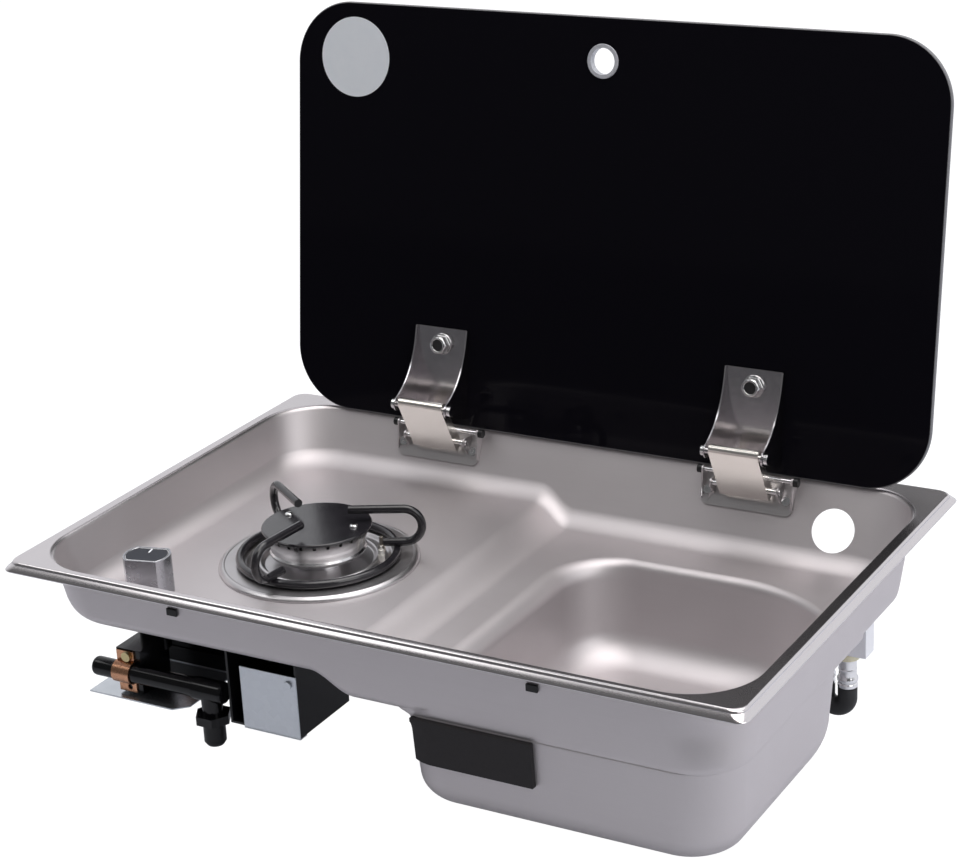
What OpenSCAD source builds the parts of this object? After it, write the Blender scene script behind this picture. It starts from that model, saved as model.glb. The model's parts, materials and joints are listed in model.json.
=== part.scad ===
// Built-in stove and sink combination with a folding glass lid.
// X runs to the right, Y to the back, Z up. The worktop's surface is z = 0,
// and the origin is the middle of the cut-out. Lengths are in millimetres.

/* [Pressing] */
// Width of the rim, left to right
rim_w = 608; // [568:1:688]
// Depth of the rim, front to back
rim_d = 406; // [400:1:448]
// Height of the rim above the worktop
lip_h = 8; // [6:0.5:12]
// Corner radius of the rim's foot, seen from above
rim_corner = 4; // [3:0.5:12]
// Rounding along the rim's outer edge
rim_edge = 2.5; // [2:0.5:5.5]
// How far the lip leans outwards at its foot
lip_lean = 3.5; // [1:0.5:5]
// Thickness of the sheet steel
sheet = 1; // [0.7:0.1:1.5]
// Width of the rim's flat on the left and right
side_flat = 15; // [12:0.5:24]
// Width of the rim's flat at the front
front_flat = 11.5; // [11:0.5:24]
// Width of the rim's flat at the back
rear_flat = 20; // [14:0.5:34]
// Corner radius of the recess at the rim
recess_corner = 52; // [40:1:60]
// Rounding where the rim turns down into the recess
recess_edge = 3; // [2:0.5:5]
// Depth of the hob floor below the rim
hob_depth = 45; // [42:1:52]
// Depth of the sink ledge below the rim
ledge_depth = 60; // [56:1:70]
// Depth of the bowl's floor below the rim
bowl_depth = 136; // [120:1:160]

/* [Sink bowl] */
// Left edge of the bowl, from the middle
bowl_left = 31; // [20:1:50]
// Ledge between the bowl and the right wall
bowl_right_ledge = 9; // [7:1:20]
// Ledge between the bowl and the front wall
bowl_front_ledge = 4.6; // [4.6:0.2:20]
// Distance of the bowl's rear edge behind the middle
bowl_rear = 105; // [90:1:110]
// Corner radius at the left and front of the bowl
bowl_corner = 49; // [35:1:60]
// Corner radius at the back right of the bowl
bowl_big_corner = 118; // [80:1:125]
// Radius of the bowl's foot
bowl_foot = 22; // [15:1:28]
// Rounding of the bowl's upper edge
bowl_edge = 6; // [4:0.5:8]
// Radius of the rounding over the left edge of the bowl's opening
bowl_left_edge = 14; // [6:0.5:16]
// Radius of the bowl's front left corner
bowl_left_corner = 27; // [24:1:50]
// Radius of the bowl's front right corner
bowl_right_corner = 38; // [30:1:50]
// Radius of the hole for the waste
waste_hole_r = 22; // [19:0.5:25]
// Diameter of the waste's hose tail
waste_tail_d = 25; // [19:0.5:30]
// Thickness of the foam pad on the bowl
pad_t = 4.5; // [3:0.5:8]
// Width of the foam pad, from the bowl's left edge
pad_w = 105; // [80:1:160]
// Height of the foam pad
pad_h = 35; // [20:1:50]

/* [Tap hole] */
// Radius of the tap hole in the rear wall
tap_hole_r = 17.5; // [14:0.5:19]
// Place of the tap hole, from the middle
tap_x = 216; // [200:1:225]
// Depth of the tap hole's middle below the rim
tap_depth = 33.5; // [30:0.5:36]

/* [Glass lid] */
// Width of the glass
lid_w = 573; // [520:1:574]
// Height of the glass
lid_h = 347; // [320:1:348]
// Thickness of the glass
lid_t = 5; // [4:0.5:5]
// Corner radius of the glass
lid_corner = 52; // [30:1:60]
// Angle that the open lid leans back
lid_lean = 7.85; // [5:0.05:8]
// Outer radius of the finger hole's grommet
grommet_r = 13.8; // [12:0.1:16]
// Clear radius of the finger hole
finger_r = 10.5; // [8:0.1:11]
// Distance of the finger hole below the lid's upper edge
finger_drop = 34.5; // [25:0.5:45]
// Radius of the blank round sticker
sticker_r = 32.9; // [25:0.1:34]

/* [Hinges] */
// Distance of each hinge from the middle
hinge_x = 141.5; // [110:0.5:160]
// Distance of the hinge pin from the recess's rear edge
pin_back = 16.5; // [16:0.1:18]
// Depth of the hinge pin below the rim
pin_drop = 9.5; // [9:0.1:10]
// Radius of the hinge pin
pin_r = 2.3; // [2:0.1:2.6]
// Gap between the pin and the flap's bores
pin_gap = 0.06; // [0.02:0.01:0.1]
// Width of the upper bracket
bracket_w = 49.5; // [46:0.5:54]
// Length of the upper bracket on the glass
bracket_h = 83; // [70:1:95]
// Thickness of the hinge's sheet metal
hinge_sheet = 1.2; // [1:0.1:1.4]
// Width of the flap
flap_w = 42; // [36:0.5:43]
// Width of the hinge's base plate
base_w = 78; // [74:1:86]

/* [Burner] */
// Place of the burner, left of the middle
burner_x = 139.5; // [130:0.5:150]
// Place of the burner, in front of the middle
burner_y = 21; // [10:0.5:30]
// Radius of the drip ring
drip_r = 79.5; // [74:0.5:84]
// Radius of the burner cap
cap_r = 43.5; // [41:0.5:46]
// Thickness of the burner cap
cap_t = 2.5; // [2:0.1:3]
// Height of the cap's top above the hob floor
cap_top = 32; // [30:0.5:34]
// Radius of the burner head at its upper edge
head_r = 40.5; // [38:0.5:40.5]
// Number of notches round the burner head
port_count = 24; // [16:1:30]
// Radius of the pan support's ring
ring_r = 62; // [60:0.5:66]
// Diameter of the pan support's wire
wire_d = 6.8; // [5:0.1:7]
// Reach of the pan support's arms from the middle
arm_reach = 82; // [80:0.5:88]
// Direction of the pan support's first arm
arm_turn = 25; // [20:1:30]

/* [Control] */
// Place of the knob, left of the middle
knob_x = 224; // [216:0.5:226]
// Place of the knob, in front of the middle
knob_y = 128; // [120:0.5:134]
// Radius of the knob
knob_r = 18.5; // [16:0.5:20]
// Distance from the knob's axis to each flat
knob_flat = 13.5; // [11:0.5:15]
// Height of the knob
knob_h = 31.5; // [28:0.5:34]
// Gap under the knob that lets it be pushed
knob_gap = 3.2; // [3:0.1:4]
// Radius of the valve's spindle
spindle_r = 4; // [3:0.1:5]

/* [Gas side] */
// Diameter of the gas rail
rail_d = 15; // [12:0.5:16]
// Length of the gas rail
rail_len = 110; // [100:1:114]
// Distance of the gas rail in front of the valve
rail_front = 37; // [34:0.5:40]
// Depth of the gas rail below the rim
rail_depth = 93; // [90:0.5:96]
// Diameter of the inlet's threaded end
inlet_d = 17; // [12:0.5:20]
// Size across the flats of the inlet's hexagon
inlet_hex = 24.6; // [22:0.1:27]
// Width of the ignition box
box_w = 63; // [60:1:70]
// Depth of the ignition box, front to back
box_d = 66; // [50:1:70]
// Height of the ignition box
box_h = 70; // [60:1:75]
// Side of the square cover plate
cover_side = 50; // [46:0.5:52]
// Outer diameter of the hose loop
hose_d = 15; // [13:0.5:15.5]
// Distance between the two ends of the hose loop
hose_pitch = 18; // [17:0.5:20]

/* [Hidden] */
$fn = 64;
// Points in each quarter of a lofted corner
corner_n = 8;
// Steps along each lofted fillet
foot_n = 4;
// Usual play between pieces that meet
play = 0.2;

// Edges of the recess at the rim
rec_x0 = -rim_w / 2 + side_flat;
rec_x1 = rim_w / 2 - side_flat;
rec_y0 = -rim_d / 2 + front_flat;
rec_y1 = rim_d / 2 - rear_flat;

// Lean of each wall of the recess, sideways for each millimetre down
slope_left = 0.27;
slope_right = 0.067;
slope_front = 0.066;
slope_rear = 0.55;
// Foot radius along each wall of the recess
foot_left = 16;
foot_right = 5;
foot_front = 8;
foot_rear = 13;
// Middle and width of the step between the hob floor and the sink ledge
step_x = -23;
step_w = 36;
step_n = 8;

// Edges of the bowl where it meets the ledge
bowl_x1 = rec_x1 - bowl_right_ledge;
bowl_y0 = rec_y0 + bowl_front_ledge;
// Lean of each wall of the bowl
lean_left = 0.1;
lean_right = 0.04;
lean_front = 0.05;
lean_rear = 0.25;
// Height at which the bowl is welded to the tray's collar
seam_z = -ledge_depth - 2 * sheet;
waste_x = (bowl_left + bowl_x1) / 2;
waste_y = (bowl_y0 + bowl_rear) / 2;

// Angle of the rear wall above level
wall_tilt = atan(1 / slope_rear);
hinge_y = rec_y1 - pin_back;
hinge_z = -pin_drop;
// Height of the closed glass over the rim
lid_over = 0.9;
// Distance of the glass's front face behind the hinge pin, square to the glass
lid_back = pin_drop + lid_over;
// Height of the glass's lower edge over the hinge pin, along the glass
lid_rise = 11;
// Upper cross bolt of the bracket, seen from the hinge pin
bolt_y = -23;
bolt_z = 31.6;
// Height of the bolt through the glass over the hinge pin
glass_bolt_z = 80;
gasket_t = 0.8;
sticker_x = 230;
sticker_up = 302;
glass_hole_r = 4.2;
// Second cross pin of the base, behind and above the hinge pin
stop_y = hinge_y + 6;
stop_z = hinge_z + 8;
stop_r = 2;
ear_x = 28.5;
outer_ear_x = 39 - 0.75;
ear_t = 1.5;
base_t = 1.5;
base_len = 30;
base_top = 3;
base_screw_x = 33.6;
base_screw_depth = 19;
screw_r = 2;

floor_z = -hob_depth;
cap_z = floor_z + cap_top;
head_foot = 10;
head_z0 = floor_z + head_foot;
head_foot_r = head_r - 2.8;
dish_r = 55;
drip_top = 3.8;
dish_z = floor_z + play + sheet;
neck_r = 22;
bead_r = 46.5;
flange_r = 54;
floor_hole_r = 57;
ring_z = floor_z + drip_top + wire_d / 2 + play;
arm_low = ring_z + wire_d - 0.8;
arm_z = -0.4 - wire_d / 2;
arm_bend = (arm_z - arm_low) / 2;
arm_aside = 4.8;
cap_screw_r = 31;
cap_screw_turns = [12, 168];
probe_ring = 50;
mix_z = floor_z - 24;
mix_r = 9;
mix_len = 50;
feed_r = 3;

valve_r = 12;
valve_h = 41;
valve_z0 = floor_z - sheet - play;
rail_y = -knob_y - rail_front;
rail_z = -rail_depth;
rail_x0 = -knob_x - 28;
saddle_y = rail_y + 2;
clamp_w = 16;
clamp_t = 1.2;
clamp_top = 17;
elbow_x = rail_x0 + rail_len - 5;
shelf_z = rail_z - 21;
shelf_back = -knob_y + 28;
shelf_w = 88;
box_x0 = elbow_x + 16;
box_y0 = rail_y;
box_z1 = floor_z - sheet - play;

block_x0 = bowl_x1 - 52;
block_x1 = bowl_x1 - 7;
block_y0 = bowl_rear - 17;
block_d = 17;
block_h = 37;
ferrule_r = 7.25;
ferrule_h = 24;
hose_leg = 9;
hose_x = block_x1 - 17.6;
hose_y = block_y0 + block_d / 2;

// Places children given from the rim's top
module at_rim() {
    translate([0, 0, lip_h]) children();
}

// Places children on the burner's axis at the hob floor's height
module at_burner() {
    translate([-burner_x, -burner_y, lip_h]) children();
}

// Places children on the knob's axis
module at_knob() {
    translate([-knob_x, -knob_y, lip_h]) children();
}

// Places children on the rear wall, with Z square out of the wall and Y up along it
module on_rear_wall(x, z) {
    translate([x, rec_y1 + slope_rear * z, lip_h + z]) rotate([wall_tilt, 0, 0]) children();
}

// Places children in the open lid's frame: the hinge pin is the origin,
// Z runs up along the glass and Y goes through it to the back
module on_lid() {
    translate([0, hinge_y, lip_h + hinge_z]) rotate([-lid_lean, 0, 0]) children();
}

// A rod along X, centred on x
module rod_x(r, len, x = 0) {
    translate([x - len / 2, 0, 0]) rotate([0, 90, 0]) cylinder(r = r, h = len);
}

// A side profile, drawn as (y, z), made into a plate whose left face is at x
module side_plate(x, t) {
    translate([x, 0, 0]) rotate([90, 0, 90]) linear_extrude(t) children();
}

// A rounded rectangle, centred on the origin
module round_rect(w, d, r) {
    square([w - 2 * r, d], center = true);
    square([w, d - 2 * r], center = true);
    for (sx = [-1, 1], sy = [-1, 1])
        translate([sx * (w / 2 - r), sy * (d / 2 - r)]) circle(r);
}

// How far a wall has moved inwards at height z below its upper edge:
// its lean, its foot fillet and, taken away, the rounding of its edge
function wall_in(z, depth, lean, foot, edge, o = 0) =
    lean * max(0, -z) + foot_in(z + depth, foot) - edge_out(min(z + o, 0), edge);
function foot_in(h, r) = h < r ? r - sqrt(max(0, r * r - pow(r - max(h, 0), 2))) : 0;
function edge_out(z, r) = z > -r ? r - sqrt(max(0, r * r - pow(z + r, 2))) : 0;

// Heights of the rings that follow an edge rounding and a foot fillet
function edge_levels(r) = [for (k = [0 : 3]) -r * (1 - cos(30 * k))];
function foot_levels(r) = [for (k = [foot_n : -1 : 0]) r * (1 - cos(90 * k / foot_n))];

// Depth of the tray's floor: the hob floor on the left, the ledge on the right
function floor_depth(x) =
    let (s = min(1, max(0, (x - step_x) / step_w + 0.5)))
    hob_depth + (ledge_depth - hob_depth) * (1 - cos(180 * s)) / 2;

// One station across the tray: its front and its rear point
function front_y(z, depth, o) =
    rec_y0 - o + wall_in(z, depth, slope_front, foot_front + o, recess_edge - o);
function rear_y(z, depth, o) =
    rec_y1 + o - wall_in(z, depth, slope_rear, foot_rear + o, recess_edge - o);
function end_pair(side, turn, up, on_floor, o) =
    let (depth = (side < 0 ? hob_depth : ledge_depth) + o)
    let (z = up - on_floor * depth)
    let (lean = side < 0 ? slope_left : slope_right)
    let (foot = (side < 0 ? foot_left : foot_right) + o)
    let (ix = wall_in(z, depth, lean, foot, recess_edge - o))
    let (ax = recess_corner + o - ix / 2)
    let (iy = wall_in(z, depth, slope_front, foot_front + o, recess_edge - o))
    let (ir = wall_in(z, depth, slope_rear, foot_rear + o, recess_edge - o))
    let (edge = side < 0 ? rec_x0 - o + ix : rec_x1 + o - ix)
    let (x = edge - side * ax * (1 - cos(turn)))
    let (yf = front_y(z, depth, o) + (recess_corner + o - iy / 2) * (1 - sin(turn)))
    let (yr = rear_y(z, depth, o) - (recess_corner + o - ir / 2) * (1 - sin(turn)))
    [[x, yf, z], [x, yr, z]];
function mid_pair(x, up, on_floor, o) =
    let (depth = floor_depth(x) + o)
    let (z = up - on_floor * depth)
    [[x, front_y(z, depth, o), z], [x, rear_y(z, depth, o), z]];
function tray_pairs(up, on_floor, o) = concat(
    [for (k = [0 : corner_n]) end_pair(-1, 90 * k / corner_n, up, on_floor, o)],
    [for (k = [0 : step_n]) mid_pair(step_x + step_w * (k / step_n - 0.5), up, on_floor, o)],
    [for (k = [corner_n : -1 : 0]) end_pair(1, 90 * k / corner_n, up, on_floor, o)]);
function pair_ring(pairs) = concat(
    [for (p = pairs) p[0]],
    [for (k = [len(pairs) - 1 : -1 : 0]) pairs[k][1]]);

// The triangles between two neighbouring rings of n points
function wall_faces(rings, n) = [
    for (r = [0 : rings - 2], k = [0 : n - 1], half = [0, 1])
        let (a = r * n + k, b = r * n + (k + 1) % n)
        half == 0 ? [a, b, b + n] : [a, b + n, a + n]
];

// The solid that the recess takes up, grown outwards by o
module recess_form(o) {
    tops = o > 0 ? [for (z = edge_levels(recess_edge - o)) z - o + 0.01] : concat([1], edge_levels(recess_edge));
    feet = foot_levels(foot_rear + o);
    rings = concat(
        [for (z = tops) pair_ring(tray_pairs(z, 0, o))],
        [for (h = feet) pair_ring(tray_pairs(h, 1, o))]);
    n = len(rings[0]);
    m = n / 2;
    last = (len(rings) - 1) * n;
    points = [for (r = rings) each r];
    floor_strips = [for (k = [0 : m - 2]) [last + k, last + k + 1, last + n - 2 - k, last + n - 1 - k]];
    polyhedron(points, concat([[for (k = [n - 1 : -1 : 0]) k]], wall_faces(len(rings), n), floor_strips));
}

// A closed ring of points round a rectangle with its own radius at each corner,
// given as [x0, x1, y0, y1] and [front left, front right, rear right, rear left]
function corner_arc(cx, cy, rx, ry, from, n) =
    [for (k = [0 : n]) [cx + rx * cos(from + 90 * k / n), cy + ry * sin(from + 90 * k / n)]];
function rect_ring(b, r, z, n) = [
    for (p = concat(
        corner_arc(b[0] + r[0], b[2] + r[0], r[0], r[0], 180, n),
        corner_arc(b[1] - r[1], b[2] + r[1], r[1], r[1], 270, n),
        corner_arc(b[1] - r[2], b[3] - r[2], r[2], r[2], 0, n),
        corner_arc(b[0] + r[3], b[3] - r[3], r[3], r[3], 90, n)))
    [p[0], p[1], z]
];

// A solid between rings that lie level, listed from the top down
module ring_loft(rings) {
    n = len(rings[0]);
    last = (len(rings) - 1) * n;
    points = [for (r = rings) each r];
    polyhedron(points, concat(
        [[for (k = [n - 1 : -1 : 0]) k]],
        wall_faces(len(rings), n),
        [[for (k = [0 : n - 1]) last + k]]));
}

// The rim as a solid, shrunk by o on every side but its open underside
function rim_ring(z, shrink, o) =
    rect_ring(
        [-rim_w / 2 + shrink + o, rim_w / 2 - shrink - o, -rim_d / 2 + shrink + o, rim_d / 2 - shrink - o],
        [for (k = [0 : 3]) max(1, rim_corner + shrink / 2 - o)], z, 5);
module rim_form(o) {
    r = rim_edge - o;
    ring_loft(concat(
        [for (k = [3 : -1 : 0]) rim_ring(-o - r * (1 - sin(30 * k)), lip_lean + r * (1 - cos(30 * k)), o)],
        [rim_ring(-lip_h - (o > 0 ? 1 : 0), 0, o)]));
}

// The solid that the bowl takes up, grown outwards by o
function bowl_ring(z, o) =
    let (depth = bowl_depth - ledge_depth + o)
    let (h = z + ledge_depth)
    let (il = wall_in(h, depth, lean_left, bowl_foot + o, bowl_left_edge - o, o))
    let (ir = wall_in(h, depth, lean_right, bowl_foot + o, 2))
    let (iy = wall_in(h, depth, lean_front, bowl_foot + o, 0.4))
    let (ib = wall_in(h, depth, lean_rear, bowl_foot + o, bowl_edge - o, o))
    let (c = bowl_corner + o)
    let (g = bowl_big_corner + o)
    rect_ring(
        [bowl_left - o + il, bowl_x1 + o - ir, bowl_y0 - o + iy, bowl_rear + o - ib],
        [bowl_left_corner + o - (il + iy) / 4, bowl_right_corner + o - (ir + iy) / 4, g - (ir + ib) / 3,
        c - (il + ib) / 4], z, corner_n);
module bowl_form(o) {
    head = -ledge_depth - o;
    foot = -bowl_depth - o;
    ring_loft(concat(
        [bowl_ring(head + foot_rear + 3, o)],
        [for (z = edge_levels(bowl_left_edge - o)) bowl_ring(head + z, o)],
        [for (h = foot_levels(bowl_foot + o)) bowl_ring(foot + h, o)]));
}

module tray() {
    color("#b7b1b5") at_rim() difference() {
        union() {
            difference() {
                rim_form(0);
                rim_form(sheet);
            }
            recess_form(sheet);
            bowl_form(sheet);
        }
        recess_form(0);
        bowl_form(0);
        translate([-rim_w, -rim_d, seam_z - 2 * bowl_depth]) cube([2 * rim_w, 2 * rim_d, 2 * bowl_depth]);
        tray_holes();
    }
}

// Every hole that is punched in the tray
module tray_holes() {
    translate([-burner_x, -burner_y, floor_z - 5]) cylinder(r = floor_hole_r, h = 10);
    translate([-knob_x, -knob_y, floor_z - 5]) cylinder(r = spindle_r + 5, h = 10);
    translate([0, 0, -lip_h]) {
        on_rear_wall(tap_x, -tap_depth) translate([0, 0, -6]) cylinder(r = tap_hole_r, h = 12);
        for (s = [-1, 1], u = [-1, 1])
            on_rear_wall(s * hinge_x + u * base_screw_x, -base_screw_depth)
                translate([0, 0, -6]) cylinder(r = screw_r + 0.2, h = 12);
    }
    for (x = plug_places) translate([x, rec_y0, plug_z]) cube([plug_neck, 12, 4], center = true);
}

module sink_bowl() {
    color("#aaa4aa") at_rim() difference() {
        bowl_form(sheet);
        bowl_form(0);
        translate([-rim_w, -rim_d, seam_z]) cube([2 * rim_w, 2 * rim_d, 2 * bowl_depth]);
        translate([waste_x, waste_y, -bowl_depth - 5]) cylinder(r = waste_hole_r, h = 10);
    }
}

// Foam pad stuck on the outside of the bowl, round its front left corner
module sound_pad() {
    color("#1d1d1f") at_rim() difference() {
        intersection() {
            bowl_form(sheet + pad_t);
            translate([bowl_left + 4, bowl_y0 - 20, seam_z - pad_h]) cube([pad_w, 50, pad_h]);
        }
        bowl_form(sheet);
    }
}

plug_places = [-154, 144];
plug_w = 9;
plug_neck = 6;
plug_z = -18;

// Rubber plugs pushed through the front wall, their heads under the lip
module front_plugs() {
    inner_y = rec_y0 - slope_front * plug_z + play;
    outer_y = rec_y0 - sheet - slope_front * plug_z - play;
    color("#161618") at_rim() for (x = plug_places) {
        translate([x - plug_w / 2, inner_y, plug_z - 2.75]) cube([plug_w, 2, 5.5]);
        translate([x - (plug_neck - play) / 2, outer_y - 1, plug_z - 1.8])
            cube([plug_neck - play, inner_y - outer_y + 2, 3.6]);
        translate([x - plug_w / 2, outer_y - 2, plug_z - 2.75]) cube([plug_w, 2, 5.5]);
    }
}

// Polished ring that covers the hole round the burner
module drip_ring() {
    t = 0.8;
    color("#d8d8dc") at_burner() difference() {
        rotate_extrude() polygon([
            [neck_r + play, dish_z - t], [dish_r, dish_z - t], [dish_r + 2.2, floor_z + drip_top - t],
            [drip_r - 4, floor_z + drip_top - t], [drip_r - 1, floor_z + 0.05], [drip_r, floor_z + 0.05],
            [drip_r - 0.3, floor_z + 1.2], [drip_r - 2.5, floor_z + drip_top - 0.3], [drip_r - 3.6, floor_z + drip_top],
            [dish_r + 2, floor_z + drip_top], [dish_r - 0.7, dish_z], [bead_r + 2.6, dish_z],
            [bead_r + 1.6, dish_z + 2.4], [bead_r + 0.6, dish_z + 3.1], [bead_r - 0.6, dish_z + 3.1],
            [bead_r - 1.6, dish_z + 2.4], [bead_r - 2.6, dish_z], [neck_r + play, dish_z]
        ]);
        probe_holes();
    }
}

// Holes for the electrode and the flame sensor
module probe_holes() {
    for (a = probe_turns) rotate(a) translate([probe_ring, 0, floor_z - 8]) cylinder(r = 3, h = 20);
}
probe_turns = [20, 42];

// Casting under the burner: flange, neck and mixing chamber
module burner_base() {
    flange_z = dish_z - 0.8 - play;
    color("#8f8f92") at_burner() difference() {
        rotate_extrude() polygon([
            [17.3, head_z0 - play], [neck_r, head_z0 - play], [neck_r, flange_z], [flange_r, flange_z],
            [flange_r, flange_z - 2], [30, flange_z - 2], [27, mix_z - 14], [0, mix_z - 14],
            [0, mix_z - 11], [17.3, mix_z - 11]
        ]);
        translate([0, 0, mix_z]) rotate([0, -90, 0]) cylinder(r = mix_r + 0.05, h = 40);
        probe_holes();
    }
}

// Burner crown with its flame ports under the cap
module burner_head() {
    top = cap_z - cap_t;
    color("#cfcfd3") at_burner() difference() {
        union() {
            rotate_extrude() polygon([
                [14, head_z0 + 3], [14, head_z0 - 9], [17, head_z0 - 9], [17, head_z0],
                [head_foot_r, head_z0], [head_foot_r + 0.6, head_z0 + 2.5], [head_foot_r - 0.6, head_z0 + 4],
                [head_r, top], [head_r - 3, top], [head_foot_r - 3.6, head_z0 + 3]
            ]);
            for (a = cap_screw_turns)
                rotate(a) translate([cap_screw_r, 0, head_z0 + 1]) cylinder(r = 4.5, h = top - head_z0 - 1);
        }
        for (k = [0 : port_count - 1])
            rotate(k * 360 / port_count) translate([head_r - 5, -1.2, top - 3.6]) cube([8, 2.4, 6]);
        for (a = cap_screw_turns)
            rotate(a) translate([cap_screw_r, 0, top - 9]) cylinder(r = screw_r, h = 20);
    }
}

// Enamelled cap over the burner head
module burner_cap() {
    color("#2c2c30") at_burner() difference() {
        rotate_extrude() polygon([
            [0, cap_z - cap_t], [cap_r - 0.9, cap_z - cap_t], [cap_r, cap_z - cap_t + 0.8], [cap_r, cap_z - 0.9],
            [cap_r - 0.9, cap_z], [0, cap_z]
        ]);
        for (a = cap_screw_turns)
            rotate(a) translate([cap_screw_r, 0, cap_z - 10]) cylinder(r = screw_r + 0.2, h = 20);
    }
}

module cap_screws() {
    color("#d9d9de") at_burner() for (a = cap_screw_turns) rotate(a) translate([cap_screw_r, 0, 0]) {
        translate([0, 0, cap_z]) rotate_extrude() polygon([[0, 0], [3.3, 0], [3.1, 1], [2.2, 1.9], [0, 2.2]]);
        translate([0, 0, cap_z - 9]) cylinder(r = screw_r - 0.1, h = 9.5);
    }
}

// Pan support: a ring of wire on the drip ring, with three looped arms welded on its top
module pan_support() {
    wire_r = wire_d / 2;
    inner_r = 25;
    low_r = 51;
    bend_x = arm_reach - arm_bend;
    color("#26262a") at_burner() {
        translate([0, 0, ring_z]) rotate_extrude() translate([ring_r, 0]) circle(wire_r);
        for (k = [0 : 2]) rotate(arm_turn + 120 * k) translate([0, arm_aside, 0]) {
            translate([inner_r, 0, arm_z]) rotate([0, 90, 0]) cylinder(r = wire_r, h = bend_x - inner_r);
            translate([bend_x, 0, arm_z - arm_bend]) rotate([90, 0, 0]) rotate([0, 0, -90])
                rotate_extrude(angle = 180) translate([arm_bend, 0]) circle(wire_r);
            translate([low_r, 0, arm_low]) rotate([0, 90, 0]) cylinder(r = wire_r, h = bend_x - low_r);
        }
    }
}

// Probe that stands beside the burner: a bush, an insulator and a metal tip
module probe(turn, rod_r, tip_r) {
    at_burner() rotate(turn) translate([probe_ring, 0, 0]) {
        translate([0, 0, floor_z - 9]) cylinder(r = 2.8, h = 16);
        translate([0, 0, floor_z + 7]) cylinder(r = rod_r, h = 4);
        translate([0, 0, floor_z + 11]) cylinder(r = tip_r, h = 3);
    }
}

module spark_electrode() {
    color("#e8e6e0") probe(probe_turns[0], 2.2, 1);
}

module flame_sensor() {
    color("#b9b2a6") probe(probe_turns[1], 1.8, 1.8);
}

// Venturi tube that carries gas and air to the burner
module mixing_tube() {
    color("#a8a8ac") at_burner() translate([0, 0, mix_z]) rotate([0, -90, 0]) rotate_extrude() polygon([
        [7, 18], [mix_r, 18], [mix_r, 40], [7.5, 50], [mix_r, 18 + mix_len - 8], [mix_r + 4, 18 + mix_len],
        [mix_r + 2, 18 + mix_len], [mix_r - 2, 18 + mix_len - 8], [5.5, 50], [7, 40]
    ]);
}

// Brass jet holder in line with the mixing tube's mouth
module injector() {
    color("#c8a24a") translate([-knob_x, -burner_y, lip_h + mix_z]) difference() {
        union() {
            cylinder(r = 6.5, h = floor_z - sheet - play - mix_z);
            translate([0, 0, -7]) cylinder(r = 6.5, h = 8);
            translate([4, 0, 0]) rotate([0, 90, 0]) cylinder(r = 5.5, h = 8, $fn = 6);
            translate([11, 0, 0]) rotate([0, 90, 0]) cylinder(r1 = 3.4, r2 = 2, h = 5);
        }
        rotate([0, 90, 0]) cylinder(r = 1, h = 20);
        translate([0, 0, 0]) rotate([90, 0, 0]) cylinder(r = feed_r + 0.05, h = 20);
    }
}

// Feed tube from the valve to the jet, with a union nut at each end
module feed_tube() {
    y0 = -knob_y + valve_r - 3;
    y1 = -burner_y - 4;
    color("#b98b5a") translate([-knob_x, 0, lip_h + mix_z]) {
        translate([0, y1, 0]) rotate([90, 0, 0]) cylinder(r = feed_r, h = y1 - y0);
        translate([0, y1 - 3, 0]) rotate([90, 0, 0]) cylinder(r = 6.5, h = 8, $fn = 6);
        translate([0, y0 + 11, 0]) rotate([90, 0, 0]) cylinder(r = 6.5, h = 8, $fn = 6);
    }
}

// Gas valve with its spindle bore, its outlet and the saddle for the rail
module valve_body() {
    z1 = valve_z0;
    color("#9a8f6a") difference() {
        union() {
            at_knob() {
                translate([0, 0, z1 - 3]) cylinder(r = valve_r + 4, h = 3);
                translate([0, 0, z1 - valve_h]) cylinder(r = valve_r, h = valve_h);
                translate([0, 0, rail_z - 19]) cylinder(r = valve_r - 3, h = 20);
            }
            translate([-knob_x - 11, saddle_y, lip_h + rail_z - 18])
                cube([22, -knob_y - saddle_y, 36]);
        }
        translate([0, rail_y, lip_h + rail_z]) rod_x(rail_d / 2 + 0.1, 80, -knob_x);
        at_knob() translate([0, 0, z1 - 39]) cylinder(r = spindle_r + 0.06, h = 60);
        at_knob() translate([0, 0, z1 - 54]) cylinder(r = 3.06, h = 30);
        translate([-knob_x, -knob_y + 20, lip_h + mix_z]) rotate([90, 0, 0]) cylinder(r = feed_r + 0.05, h = 14);
        translate([-knob_x, saddle_y - 1, lip_h + rail_z + clamp_top - 4]) rotate([-90, 0, 0]) cylinder(r = screw_r, h = 12);
    }
}

// Plunger under the spindle that opens the flame-failure valve
module valve_plunger() {
    color("#c9a55a") at_knob() translate([0, 0, valve_z0 - 50]) cylinder(r = 3, h = 14.5);
}

module valve_spindle() {
    top = floor_z + knob_gap + knob_h - 6;
    color("#bfbfc4") at_knob() difference() {
        translate([0, 0, valve_z0 - 35.5]) cylinder(r = spindle_r, h = top - valve_z0 + 35.5);
        translate([-spindle_r, spindle_r - 1.2, top - 14]) cube([2 * spindle_r, 4, 20]);
    }
}

// The knob's plan: a circle between two parallel flats
module knob_plan(shrink) {
    intersection() {
        circle(knob_r - shrink);
        square([2 * knob_r, 2 * (knob_flat - shrink)], center = true);
    }
}

knob_turn = 14;
skirt_h = 9;
inlay_t = 0.8;

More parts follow.
